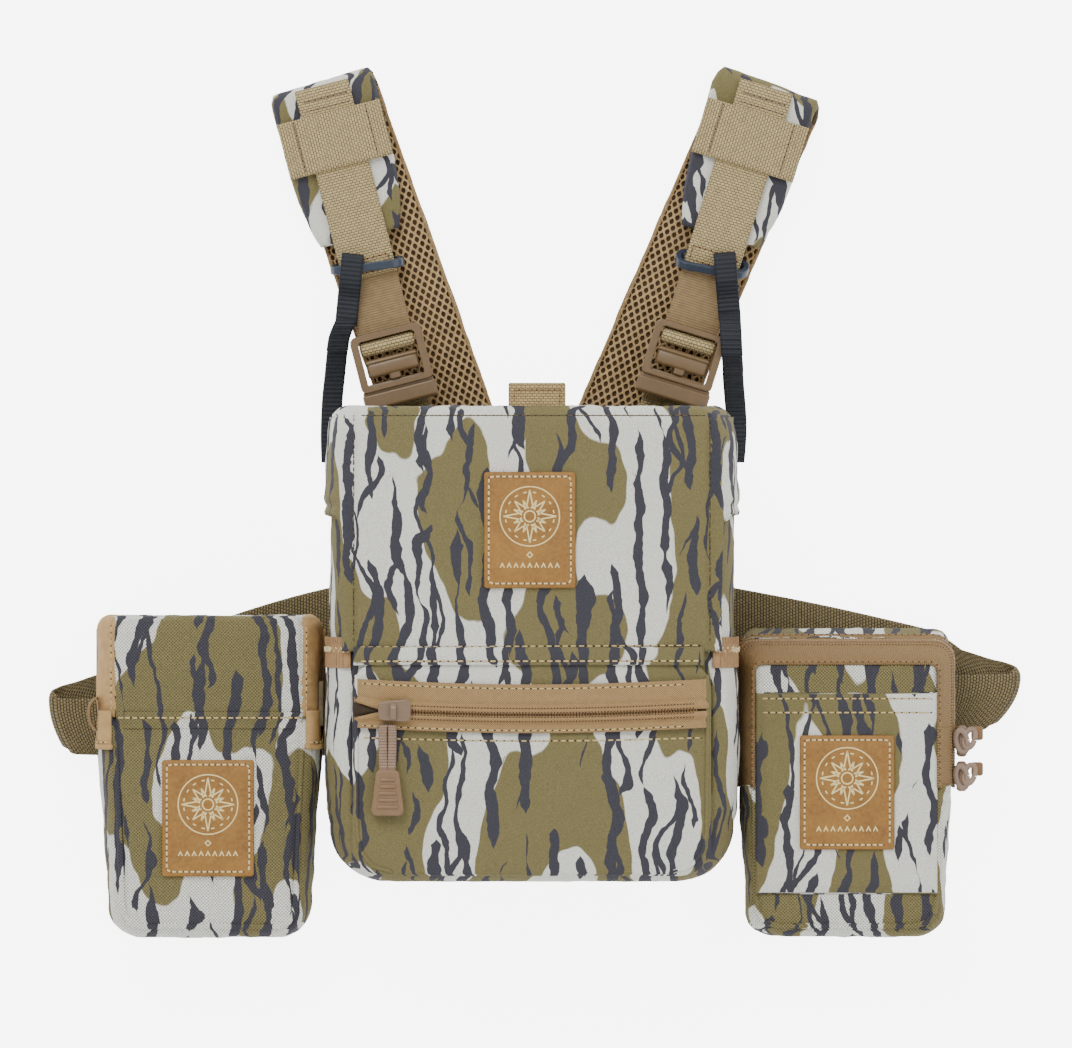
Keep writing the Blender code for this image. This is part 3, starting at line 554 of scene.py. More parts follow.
def strap(name, route, across, width, thick, mats, step=1.2, rib=None, columns=6, edge=0.02, crown=0.0):
    """A strap swept along a route; across and width are one value or one for each point."""
    route = [Vector(p) for p in route]
    across = across if isinstance(across, list) else [across] * len(route)
    across = [Vector(a).normalized() for a in across]
    width = width if isinstance(width, list) else [width] * len(route)
    wide = [Vector((w, 0.0, 0.0)) for w in width]
    section = strap_section(thick, columns, edge)
    points, uvs = [], []
    samples = along(route, step)
    last = len(route) - 1
    for t, far in samples:
        here = catmull(route, t)
        ahead = catmull(route, min(t + 0.02, last)) - catmull(route, max(t - 0.02, 0.0))
        side = catmull(across, t).normalized()
        out = ahead.cross(side).normalized()
        span = catmull(wide, t).x
        swell = rib(far) if rib else 0.0
        for a, b in section:
            lift = b + math.copysign(swell, b) * (b != 0.0)
            lift += math.copysign(crown * (1 - (2 * a) ** 2), b) * (b != 0.0)
            points.append(here + side * (a * span) + out * lift)
            uvs.append((a * span + 40.0, far))
    ring = len(section)
    faces = quads(len(samples), ring) + end_caps(len(samples), ring)
    # A second material goes on the side that faces inward
    slots = [0 if k <= columns + 1 else 1 for _ in samples[1:] for k in range(ring)] + [0, 0]
    mats = as_list(mats)
    piece = add_mesh(name, points, faces, mats, slots if len(mats) > 1 else None)
    lay_uv(piece, uvs)
    face_out(piece)
    return piece


def face_out(piece):
    """Turn a closed mesh's faces outward."""
    change_mesh(piece, lambda bm: bmesh.ops.recalc_face_normals(bm, faces=bm.faces))


def face_to(piece, axis, sign=1.0):
    """Turn an open sheet over if it faces away from the given side of an axis (0, 1 or 2)."""
    if sum(polygon.normal[axis] for polygon in piece.data.polygons) * sign < 0:
        piece.data.flip_normals()


def refine(node, name, mat, width, segments=3, angle=35.0):
    """A copy of a CAD node's mesh with its flat faces joined and its edges rounded."""
    source = bpy.data.objects[node]
    bm = bmesh.new()
    bm.from_mesh(source.data)
    bmesh.ops.remove_doubles(bm, verts=bm.verts, dist=0.00001)
    bmesh.ops.dissolve_limit(bm, angle_limit=math.radians(2), verts=bm.verts, edges=bm.edges)
    mesh = bpy.data.meshes.new(name)
    bm.to_mesh(mesh)
    bm.free()
    mesh.materials.append(mat)
    piece = bpy.data.objects.new(name, mesh)
    bpy.context.scene.collection.objects.link(piece)
    mod = piece.modifiers.new("edges", "BEVEL")
    mod.width = width * MM
    mod.segments = segments
    mod.limit_method = "ANGLE"
    mod.angle_limit = math.radians(angle)
    mod.harden_normals = False
    apply(piece)
    normals = piece.modifiers.new("shading", "WEIGHTED_NORMAL")
    normals.keep_sharp = False
    return apply(piece)


class Top:
    """The surface of one or more pieces, for laying things on it."""

    def __init__(self, *pieces):
        points, faces = [], []
        for piece in pieces:
            base = len(points)
            points += spots(piece)
            faces += [tuple(base + k for k in p.vertices) for p in piece.data.polygons]
        self.tree = BVHTree.FromPolygons(points, faces)

    def drop(self, x, y, lift=0.0, default=0.0):
        """The highest point under (x, y), and its normal."""
        hit, normal, _, _ = self.tree.ray_cast(Vector((x, y, 400.0)), Vector((0, 0, -1)))
        if hit is None:
            return Vector((x, y, default)), Vector((0, 0, 1))
        if normal.z < 0:
            normal = -normal
        return hit + normal * lift, normal

    def near(self, point, lift=0.0):
        """The nearest point of the surface, lifted along its normal."""
        hit, normal, _, _ = self.tree.find_nearest(Vector(point))
        if (Vector(point) - hit).dot(normal) < 0:
            normal = -normal
        return hit + normal * lift, normal


def circle(way, side, radius, sides=6):
    """Steps from a centre to points round it, in the plane of two directions."""
    angles = [2 * math.pi * k / sides for k in range(sides)]
    return [(way * math.cos(a) + side * math.sin(a)) * radius for a in angles]


def add_tube(points, faces, rings):
    """Add a short closed tube through rings of points."""
    base, count = len(points), len(rings[0])
    for ring in rings:
        points += ring
    faces += quads(len(rings), count, base) + end_caps(len(rings), count, base)


# A stitch's bead: share of its length, share of its radius, how deep it sinks
BEAD = ((0.0, 0.35, 0.5), (0.16, 0.9, 0.1), (0.5, 1.0, 0.0), (0.84, 0.9, 0.1), (1.0, 0.35, 0.5))


def stitches(name, line, mat, length=2.5, gap=0.9, radius=0.32, closed=False, needle=None):
    """Stitches along (point, normal) pairs: short sunken beads of thread, and dark discs at the needle holes,
    which are painted shade.
    """
    places = [Vector(p) for p, _ in line]
    normals = [Vector(n) for _, n in line]
    if closed:
        places.append(places[0])
        normals.append(normals[0])
    far = distances(places)

    def at(want):
        k, share = locate(far, want)
        return places[k].lerp(places[k + 1], share), normals[k].lerp(normals[k + 1], share).normalized()

    points, faces, slots = [], [], []
    needle = needle or bpy.data.materials["needle_hole_shade"]    # made once, in make_materials
    pitch = length + gap
    count = int(far[-1] / pitch)
    start = (far[-1] - count * pitch + gap) / 2
    for n in range(count):
        a, up = at(start + n * pitch)
        b, _ = at(start + n * pitch + length)
        way = (b - a).normalized()
        side = way.cross(up).normalized()
        rings = []
        for share, size, sink in BEAD:
            centre = a.lerp(b, share) - up * radius * sink
            rings.append([centre + out for out in circle(side * 1.25, up, radius * size)])
        add_tube(points, faces, rings)
        slots += [0] * (len(faces) - len(slots))
        # Painted shade: a dark disc in each gap, where the thread sinks into the cloth
        hole = b + way * gap * 0.5 - up * radius * 0.25
        base = len(points)
        points += [hole + out for out in circle(way * (gap * 0.62), side * radius * 1.15, 1.0, 8)]
        faces.append(tuple(base + k for k in reversed(range(8))))
        slots.append(1)
    return add_mesh(name, points, faces, [mat, needle], slots)


def line_on(top, corners, lift=0.12, step=2.0):
    """A line of (point, normal) pairs on a surface, through (x, y) corners, where the surface is."""
    result = []
    for (x0, y0), (x1, y1) in zip(corners, corners[1:]):
        count = max(1, round(math.hypot(x1 - x0, y1 - y0) / step))
        for k in range(count):
            share = k / count
            result.append(top.drop(x0 + (x1 - x0) * share, y0 + (y1 - y0) * share, lift))
    result.append(top.drop(corners[-1][0], corners[-1][1], lift))
    return [(point, normal) for point, normal in result if point.z > lift]


def sew(name, line, mat, body, slot, *sizes):
    """A row of stitches that rides on a body; sizes as for stitches()."""
    return place(stitches(name, line, mat, *sizes), body, slot)


def welt(name, top, corners, mat, body, slot="camo_canvas", width=2.5, thick=1.9):
    """A rolled seam that stands up from a surface."""
    line = line_on(top, corners, 0.1, 1.6)
    ways = []
    for k, (_, normal) in enumerate(line):
        ahead = line[min(k + 1, len(line) - 1)][0] - line[max(k - 1, 0)][0]
        ways.append(ahead.cross(normal).normalized())
    piece = strap(name, [p for p, _ in line], ways, width, thick, mat, 1.6, None, 4, 0.14, 0.3)
    place(piece, body, slot)


def rounded_outline(x0, x1, y0, y1, radius, steps=6):
    """A rounded rectangle as (x, y) points, counter-clockwise."""
    points = []
    for cx, cy, start in ((x1 - radius, y0 + radius, -90), (x1 - radius, y1 - radius, 0),
                          (x0 + radius, y1 - radius, 90), (x0 + radius, y0 + radius, 180)):
        for k in range(steps + 1):
            angle = math.radians(start + 90 * k / steps)
            points.append((cx + radius * math.cos(angle), cy + radius * math.sin(angle)))
    return points


def dense(outline, step):
    """A closed outline with points added along its long stretches."""
    result = []
    for (x0, y0), (x1, y1) in zip(outline, outline[1:] + outline[:1]):
        count = max(1, round(math.hypot(x1 - x0, y1 - y0) / step))
        for k in range(count):
            result.append((x0 + (x1 - x0) * k / count, y0 + (y1 - y0) * k / count))
    return result


def pad_mesh(name, outline, low, high, mats, edge=1.2, crown=0.0, rings=10, ripple=0.0):
    """A flat pad: rounded edge, crowned top; the top can ripple a little."""
    cx = sum(p[0] for p in outline) / len(outline)
    cy = sum(p[1] for p in outline) / len(outline)
    points = []
    steps = [(edge, low), (0.0, low + edge), (0.0, high - edge), (edge * 0.3, high - edge * 0.3),
             (edge, high)]
    count = len(outline)
    for inset, z in steps:
        for x, y in outline:
            away = Vector((cx - x, cy - y))
            away = away.normalized() * inset if away.length else away
            points.append((x + away.x, y + away.y, z))
    for r in range(1, rings + 1):
        share = (1 - r / rings)
        for x, y in outline:
            away = Vector((cx - x, cy - y)).normalized() * edge
            px = cx + (x + away.x - cx) * share
            py = cy + (y + away.y - cy) * share
            bulge = crown * (1 - share ** 2)
            bulge += ripple * noise.noise(Vector((px * 0.06, py * 0.06, high))) * (1 - share ** 4)
            points.append((px, py, high + bulge))
    faces = quads(len(steps) + rings, count) + [tuple(reversed(range(count)))]
    piece = add_mesh(name, points, faces, mats)
    weld(piece)
    return piece


def resample(points, count, closed=False):
    """A polyline of vectors as evenly spaced points."""
    line = list(points) + ([points[0]] if closed else [])
    far = distances(line)
    spans = count if closed else count - 1
    result, k = [], 0
    for n in range(count):
        k, share = locate(far, far[-1] * n / spans, k)
        result.append(line[k].lerp(line[k + 1], share))
    return result


def smooth_line(points, fine=12):
    """A dense Catmull-Rom line through the points."""
    points = [Vector(p) for p in points]
    last = (len(points) - 1) * fine
    return [catmull(points, k / fine) for k in range(last + 1)]


def closed_ring(half, count):
    """A closed ring from its right half, listed from the rear middle to the front middle."""
    left = [(-x, z) for x, z in reversed(half[1:-1])]
    points = [Vector(p) for p in half] + [Vector(p) for p in left]
    wrapped = [points[-2], points[-1]] + points + [points[0], points[1]]
    line = smooth_line(wrapped)[24:-24]
    return resample(line[:-1], count, closed=True)


def rows_mesh(name, rows, mats, closed=False):
    """Quads between rows of points; a row can be a closed ring."""
    faces = quads(len(rows), len(rows[0]), 0, closed)
    return add_mesh(name, [p for row in rows for p in row], faces, mats)


def weld(piece, distance=0.02):
    """Join points that meet and turn the faces outward."""
    def change(bm):
        bmesh.ops.remove_doubles(bm, verts=bm.verts, dist=distance * MM)
        bmesh.ops.recalc_face_normals(bm, faces=bm.faces)

    change_mesh(piece, change)


def sculpt(piece, shape):
    """Move each point along its normal by shape(point, normal), in millimetres."""
    mesh = piece.data
    normals = [Vector(v.normal) for v in mesh.vertices]
    for vertex, normal in zip(mesh.vertices, normals):
        vertex.co += normal * shape(vertex.co / MM, normal) * MM


def thicken(piece, thick):
    """Give an open surface a thickness, inward."""
    mod = piece.modifiers.new("thickness", "SOLIDIFY")
    mod.thickness = thick * MM
    mod.offset = -1.0
    mod.use_rim = True
    return apply(piece)


def cloth_sheet(name, rows, mat, thick, axis=2, sign=1.0, uvs=None):
    """A sheet of cloth through rows of points, facing along an axis."""
    piece = rows_mesh(name, rows, [mat])
    face_to(piece, axis, sign)
    if uvs:
        lay_uv(piece, uvs)
    thicken(piece, thick)
    return piece


def folds(point, size=14.0, seed=0.0):
    """Soft uneven relief of cloth, from about -1 to 1."""
    place = Vector(point) / size + Vector((seed, seed * 2.3, 0.0))
    return noise.noise(place) + 0.5 * noise.noise(place * 2.3) + 0.22 * noise.noise(place * 5.1)


def bell(distance, width):
    """1 on a line, falling to 0 away from it."""
    return math.exp(-(distance / width) ** 2)


def smooth_step(value, low, high):
    """0 below low, 1 above high, smooth between."""
    share = min(max((value - low) / (high - low), 0.0), 1.0)
    return share * share * (3 - 2 * share)


def cube(name, low, high, mat, edge=0.4):
    """A box with rounded edges."""
    bpy.ops.mesh.primitive_cube_add(size=1.0)
    piece = bpy.context.object
    piece.name = name
    low, high = Vector(low) * MM, Vector(high) * MM
    piece.data.transform(Matrix.Translation((low + high) / 2) @ Matrix.Diagonal((*(high - low), 1.0)))
    piece.data.materials.append(mat)
    mod = piece.modifiers.new("edges", "BEVEL")
    mod.width = edge * MM
    mod.segments = 3
    return apply(piece)


# ---------------------------------------------------------------- bags and lids

BAG_RING = 168


def bag(name, mats, y_low, y_high, ring_at, corner, depth_corner, middle, open_top=True, step=2.6):
    """A bag along Y: rings round its depth, with a rounded bottom, and a rounded top unless open."""
    cx, cz = middle
    rows = []

    def row(y, draw, sink):
        ring = ring_at(y)
        half = max(abs(p.x - cx) for p in ring)
        deep = max(abs(p.y - cz) for p in ring)
        return [Vector((cx + (p.x - cx) * (half - draw) / half, y, cz + (p.y - cz) * (deep - sink) / deep))
                for p in ring]

    def rounding(distance, radius):
        return radius - math.sqrt(max(radius ** 2 - max(radius - distance, 0.0) ** 2, 0.0))

    def fan(y, low_end):
        base = row(y, corner, depth_corner)
        shares = [k / 12 for k in range(1, 12)]
        rings = [[Vector((cx + (p.x - cx) * s, y, cz + (p.z - cz) * s)) for p in base] for s in shares]
        return rings if low_end else list(reversed(rings))

    rows += fan(y_low, True)
    near = [0.0, 0.15, 0.5, 1.0, 1.8, 3.0, 4.4, 6.0, 8.0, 10.0, 12.5, 15.0, 18.0, 21.0]
    ys = [y_low + d for d in near]
    stop = y_high if open_top else y_high - 21.0
    while ys[-1] + step < stop:
        ys.append(ys[-1] + step)
    if open_top:
        ys.append(y_high)
    else:
        ys += [y_high - d for d in reversed(near)]
    for y in ys:
        draw = rounding(y - y_low, corner)
        sink = rounding(y - y_low, depth_corner)
        if not open_top:
            draw = max(draw, rounding(y_high - y, 7.0))
            sink = max(sink, rounding(y_high - y, 5.0))
        rows.append(row(y, draw, sink))
    if not open_top:
        rows += fan(y_high, False)
    piece = rows_mesh(name, rows, mats, closed=True)
    cap_holes(piece, y_low if open_top else None)
    weld(piece, 0.005)
    return piece


def drop_faces(piece, test):
    """Remove the faces whose middle passes a test, in millimetres."""
    def change(bm):
        gone = [f for f in bm.faces if test(f.calc_center_median() / MM)]
        bmesh.ops.delete(bm, geom=gone, context="FACES")

    change_mesh(piece, change)


def cap_holes(piece, only_y=None):
    """Close a bag's small fan holes; only at one Y if it is given."""
    def change(bm):
        edges = [e for e in bm.edges if e.is_boundary
                 and (only_y is None or abs(e.verts[0].co.y / MM - only_y) < 1.0)]
        bmesh.ops.holes_fill(bm, edges=edges, sides=0)

    change_mesh(piece, change)


def half_profile(control, edge, low, count):
    """A lid's half profile from its middle outward: the panel to an edge height, and the wing below."""
    line = smooth_line(control)

    def until(height):
        kept = [line[0]]
        for a, b in zip(line, line[1:]):
            if b.y < height and b.x > 20.0:
                share = (a.y - height) / max(a.y - b.y, 1e-6)
                kept.append(a.lerp(b, min(max(share, 0.0), 1.0)))
                break
            kept.append(b)
        return kept

    panel = until(edge)
    whole = until(low)
    wing = [panel[-1]] + whole[len(panel) - 1:]
    wide = count * 2 // 3
    return resample(panel, wide) + resample(wing, count - wide + 1)[1:]


def lid_mesh(name, mats, centre, ys, top, control_at, edge, low_at, corner, sink, thick, shape, count=84,
             end_slope=0.0, wing_from=None, lean=False):
    """A lid: profiles across it along Y, a rounded far edge and an end wall."""
    rows = []

    def row(y, draw, drop, push=0.0, share=1.0):
        half = half_profile(control_at(y), edge, low_at(y), count)
        base = half[-1].y
        reach = max(p.x for p in half)
        tall = half[0].y - base
        points = []
        for p in half:
            x = p.x * (reach - draw) / reach * share
            z = base + (p.y - base) * (tall - drop) / tall * share
            points.append((x, z))
        whole = [(-x, z) for x, z in reversed(points[1:])] + points
        return [Vector((centre + x, y - end_slope * (z - base) * push, z)) for x, z in whole]

    for y in ys:
        rows.append(row(y, 0.0, 0.0))
    for k in range(1, 9):
        angle = math.radians(90 * k / 8)
        y = top - corner * (1 - math.sin(angle))
        if y > ys[-1]:
            turned = 1 - math.cos(angle)
            rows.append(row(y, corner * turned, sink * turned, 1.0 if lean else k / 8))
    for k in range(1, 24):
        rows.append(row(top, corner, sink, 1.0, 1 - k / 24))
    piece = rows_mesh(name, rows, mats)
    if wing_from:
        for polygon in piece.data.polygons:
            polygon.material_index = int(abs(polygon.center.x / MM - centre) > wing_from)
    face_to(piece, 2)
    sculpt(piece, shape)
    return thicken(piece, thick)


# ---------------------------------------------------------------- main pack

SEAM = 79.0
PACK_BOTTOM = -105.8
PACK_SIDE = [(0.0, 10.4), (40.0, 10.4), (70.0, 10.6), (81.0, 12.6), (87.2, 22.0), (89.6, 38.0), (90.0, 56.0),
             (88.4, 69.0), (84.6, 78.6), (79.4, 84.2), (68.0, 84.6), (40.0, 84.8), (0.0, 84.8)]


def main_pack(m):
    """The bag, its stretch side pockets and their elastic hems."""
    ring = closed_ring(PACK_SIDE, BAG_RING)
    piece = bag("pack_body", [m["camo_fabric"], m["lining"]], PACK_BOTTOM, 101.0, lambda y: ring,
                24.0, 13.0, (0.0, 47.6))

    def shape(p, n):
        side = smooth_step(abs(n.x), 0.4, 0.9)
        amount = 0.75 * folds(p, 17.0) * side + 0.3 * folds(p, 9.0, 3.0) * (1 - side)
        crease = bell(abs(p.x) - SEAM, 1.4) * smooth_step(p.z, 60.0, 78.0)
        pucker = math.sin(p.y * 2 * math.pi / 4.2) * bell(abs(p.x) - SEAM - 3.0, 3.0)
        return amount - 0.9 * crease + 0.35 * pucker * smooth_step(p.z, 60.0, 75.0)

    sculpt(piece, shape)
    thicken(piece, 2.4)
    place(piece, "harness", "camo_fabric", "pack_shell")
    half = smooth_line(PACK_SIDE[3:11])
    for sign, side in ((-1.0, "left"), (1.0, "right")):
        for name, y0, y1, low, high, count, out, gather, rib, thick, mat, slot in (
            ("side_pocket", -86.0, 1.5, 18.0, 84.0, 46, 0.8, 0.5, 0.0, 0.9, "camo_fabric", "camo_fabric"),
            ("side_hem", -10.6, 3.0, 19.0, 84.15, 150, 2.0, 0.35, 0.34, 1.0, "hem_elastic", "elastic"),
        ):
            loose = name == "side_pocket"
            line = resample([p for p in half if low <= p.y <= high], count)
            rows = []
            for step in range(45):
                y = y0 + (y1 - y0) * step / 44
                share = (y - y0) / (y1 - y0)
                bulge = out
                if loose:
                    bulge += 1.6 * math.sin(math.pi * share) - 2.6 * (1 - smooth_step(share, 0.0, 0.14))
                row = []
                for k, p in enumerate(line):
                    way = line[min(k + 1, count - 1)] - line[max(k - 1, 0)]
                    rim = smooth_step(min(k, count - 1 - k) / count, 0.0, 0.1) if loose else 1.0
                    away = Vector((way.y, -way.x)).normalized() * (bulge - 2.4 * (1 - rim))
                    row.append(Vector((sign * (p.x + away.x), y, p.y + away.y)))
                rows.append(row)
            cloth = rows_mesh(f"{name}_{side}_cloth", rows, [m[mat]])
            face_to(cloth, 0, sign)
            sculpt(cloth, lambda p, n: gather * folds(p, 8.0, 5.0) + rib * math.sin(p.z * 2 * math.pi / 2.2))
            lay_uv(cloth, [(p.z, p.y) for p in spots(cloth)])
            thicken(cloth, thick)
            place(cloth, "harness", slot, f"{name}_{side}")
        zigzag = []
        top = Top(cloth)
        for k in range(46):
            spot = Vector((sign * 96.0, -2.6 + (1.3 if k % 2 else -1.3), 26.0 + 1.15 * k))
            zigzag.append(top.near(spot, 0.15))
        for k in range(10):
            zigzag.append(top.drop(sign * (90.4 - 1.15 * k), -2.6 + (1.3 if k % 2 else -1.3), 0.15))
        zigzag = [(point, normal) for point, normal in zigzag if point.z > 1.0]
        sew(f"side_hem_{side}_zigzag", zigzag, m["thread_cream"], "harness", "elastic", 1.25, 0.2, 0.28)


LID_SIDE = [(0.0, 89.9), (30.0, 89.8), (60.0, 89.3), (74.0, 88.7), (SEAM, 87.6), (83.0, 86.2), (87.0, 81.0),
            (90.0, 72.0), (91.4, 60.0), (91.6, 46.0), (90.8, 34.0), (90.0, 27.6)]


def lid_control(y):
    """The main lid's half profile at a Y: a little wider near its wings' start."""
    wide = 1.2 * bell(y - 60.0, 14.0) - 1.6 * smooth_step(y, 84.0, 104.0)
    return [(x + wide * smooth_step(x, 60.0, 88.0), z) for x, z in LID_SIDE]


def main_lid(m):
    """The lid with its seams, hinge strip, pull tab and leather patch."""
    def low_at(y):
        return 85.2 - 57.2 * smooth_step(y, 55.5, 60.5)

    def shape(p, n):
        flat = smooth_step(n.z, 0.5, 0.95)
        relief = 0.42 * folds(p, 26.0) * flat + 0.8 * folds(p, 13.0, 2.0) * (1 - flat)
        inner = bell(abs(p.x) - SEAM, 1.1) * flat
        ridge = bell(abs(p.x) - SEAM - 4.2, 1.6) * smooth_step(n.z, 0.2, 0.6)
        pucker = math.sin(p.y * 2 * math.pi / 3.4 + 1.5 * folds(p, 9.0)) * bell(abs(p.x) - SEAM - 2.4, 2.2)
        top = bell(p.y - 102.0, 1.6) * flat
        dart = bell(p.y - 61.5, 1.6) * smooth_step(abs(p.x), 83.0, 90.0)
        return relief - 1.1 * inner + 0.8 * ridge + 0.38 * pucker - 0.35 * top - 1.2 * dart

    ys = [-3.2 + 1.35 * k for k in range(int(99.6 / 1.35) + 1)]
    lid = lid_mesh("lid_cloth", [m["camo_fabric"]], 0.0, ys, 105.6, lid_control, 85.6, low_at, 8.5, 5.0,
                   1.7, shape, 110)
    place(lid, "lid", "camo_fabric", "lid_hood")
    top = Top(lid)

    low, high = box_mm("lid_patch")
    leather_patch(m, "lid_patch_leather", (low.x, high.x, low.y, high.y), top, "lid", "lid_patch", 2.1)

    for name, x in (("left", -SEAM), ("right", SEAM)):
        seam = line_on(top, [(x, 0.5), (x, 50.0), (x, 101.0)], 0.1)
        sew(f"lid_seam_{name}", seam, m["thread_dark"], "lid", "camo_fabric", 1.6, 1.2, 0.26)
    row = line_on(top, [(-77.5, -1.4), (75.0, -0.6)], 0.12)
    sew("lid_hinge_stitches", row, m["thread_pale"], "lid", "camo_fabric", 2.6, 1.0, 0.34)
    row = line_on(top, [(-76.5, 101.4), (76.5, 101.4)], 0.1)
    sew("lid_top_stitches", row, m["thread_dark"], "lid", "camo_fabric", 2.2, 1.2, 0.26)

    # The hinge strip arches over the line where the lid turns
    rows = []
    for k in range(15):
        y = -9.4 + 8.2 * k / 14
        lift = 91.2 - 1.0 * ((y + 5.0) / 4.0) ** 2 * 0.4
        row = []
        for x in (2.55 * step for step in range(-31, 31)):
            end = 2.4 * smooth_step(abs(x), 72.0, 78.6)
            row.append(Vector((x, y, lift + 0.3 * folds((x, y, 0), 12.0) - end)))
        rows.append(row)
    strip = cloth_sheet("lid_hinge_strip", rows, m["camo_fabric"], 1.1)
    stretch(strip, ("harness", "lid"), LID_FOLD, "camo_fabric")
    row = line_on(Top(strip), [(-78.0, -7.6), (76.0, -7.4)], 0.12)
    sew("hinge_low_stitches", row, m["thread_pale"], "harness", "camo_fabric", 2.6, 1.0, 0.34)

    low, high = box_mm("lid_pull_tab")
    middle = (low.x + high.x) / 2
    route = [(middle, 100.5, 84.0), (middle, 103.6, 84.2), (middle, 106.0, 84.0), (middle, 110.0, 83.4),
             (middle, 114.2, 83.4), (middle, 115.4, 82.6), (middle, 114.2, 81.8), (middle, 107.0, 81.8)]
    tab = strap("lid_tab_loop", route, (1, 0, 0), high.x - low.x, 1.5, m["belt_webbing"], 0.6)
    place(tab, "lid", "webbing", "lid_pull_tab")
    box = [(low.x + 2.6, 106.4), (low.x + 2.6, 112.8), (high.x - 2.6, 112.8), (high.x - 2.6, 106.4)]
    row = line_on(Top(tab), box, 0.1, 1.0)
    sew("lid_tab_stitches", row, m["thread_tan"], "lid", "webbing", 1.9, 0.7, 0.26)


def leather_patch(m, name, edges, top, body, node, thick):
    """A stitched leather patch with a pressed foil mark, lying on a surface."""
    x0, x1, y0, y1 = edges
    base, _ = top.drop((x0 + x1) / 2, (y0 + y1) / 2)
    outline = dense(rounded_outline(x0, x1, y0, y1, 1.3), 1.6)
    low = min(top.drop(x, y)[0].z for x, y in outline)
    patch = pad_mesh(name, outline, low - 0.2, base.z + thick - 0.3, [m["leather"]], 0.7, 0.25, 12, 0.35)

    def groove(p, n):
        edge = min(p.x - x0, x1 - p.x, p.y - y0, y1 - p.y)
        return -0.4 * bell(edge - 2.1, 0.8) * smooth_step(n.z, 0.3, 0.8)

    sculpt(patch, groove)
    place(patch, body, "leather_patch", node)
    surface = Top(patch)
    inset = 2.1
    around = dense(rounded_outline(x0 + inset, x1 - inset, y0 + inset, y1 - inset, 1.4), 1.2)
    line = [surface.drop(x, y, 0.12) for x, y in around]
    sew(f"{name}_stitches", line, m["thread_cream"], body, "leather_patch", 2.0, 0.7, 0.36, True,
        m["leather_hole_shade"])
    foil_mark(m, f"{name}_mark", ((x0 + x1) / 2, (y0 + y1) / 2), (x1 - x0) / 40.0, surface, body)


def foil_mark(m, name, centre, size, surface, body):
    """A generic mark in foil, with no words."""
    cx, cy = centre
    lines = []

    def polyline(points, width):
        lines.append(([(cx + x * size, cy + y * size) for x, y in points], width * size))

    def arc(x, y, radius, start, end, width, steps=20):
        polyline([(x + radius * math.cos(math.radians(start + (end - start) * k / steps)),
                   y + radius * math.sin(math.radians(start + (end - start) * k / steps)))
                  for k in range(steps + 1)], width)

    # A wind rose above a small diamond and a row of dashes
    for k in range(16):
        angle = math.radians(22.5 * k)
        tip = 11.6 if k % 4 == 0 else 9.4 if k % 2 == 0 else 7.6
        a, b = Vector((math.cos(angle), math.sin(angle))), Vector((-math.sin(angle), math.cos(angle)))
        for sign in (-1.0, 1.0):
            foot = a * 3.4 + b * sign * (1.5 if k % 2 == 0 else 0.8)
            polyline([(foot.x, foot.y + 6.0), (a.x * tip, a.y * tip + 6.0)], 0.62)
    arc(0.0, 6.0, 2.4, 0, 360, 0.6)
    arc(0.0, 6.0, 13.0, 0, 360, 0.55, 40)
    for k in range(16):
        middle = 22.5 * k + 11.25
        arc(0.0, 6.0, 10.6, middle - 4.0, middle + 4.0, 0.6, 3)
    polyline([(0, -9.6), (1.2, -10.8), (0, -12.0), (-1.2, -10.8), (0, -9.6)], 0.5)
    for k in range(9):
        x = -12.0 + 3.0 * k
        polyline([(x - 0.9, -16.4), (x, -14.6), (x + 0.9, -16.4)], 0.55)
    points, faces = [], []
    for line, width in lines:
        pairs = []
        for k, (x, y) in enumerate(line):
            before = Vector(line[max(k - 1, 0)])
            after = Vector(line[min(k + 1, len(line) - 1)])
            if line[0] == line[-1] and k in (0, len(line) - 1):
                before, after = Vector(line[-2]), Vector(line[1])
            here = Vector((x, y))
            a, b = here - before, after - here
            a, b = (a if a.length else b).normalized(), (b if b.length else a).normalized()
            bend = (a + b).normalized()
            side = Vector((-bend.y, bend.x)) * width / 2 / max(bend.dot(a), 0.35)
            pairs.append((here + side, here - side))
        for (a, b), (c, d) in zip(pairs, pairs[1:]):
            steps = max(1, round((c - a).length / 1.5))
            for k in range(steps):
                quad = [a.lerp(c, k / steps), a.lerp(c, (k + 1) / steps),
                        b.lerp(d, (k + 1) / steps), b.lerp(d, k / steps)]
                base = len(points)
                points += [surface.drop(p.x, p.y, 0.10)[0] for p in quad]
                faces.append((base, base + 3, base + 2, base + 1))
    mark = add_mesh(name, points, faces, m["foil"])
    place(mark, body, "leather_patch")


ZIP_Y = -28.6


def sag(x):
    """How far the front zip's line bows down at an x."""
    return -2.8 * math.cos(math.pi * x / 170.0)


def opening(x):
    """Half of the gap between the front zip's tapes at an x; it is open at its far left."""
    return 2.6 * smooth_step(-x, 66.0, 79.0)


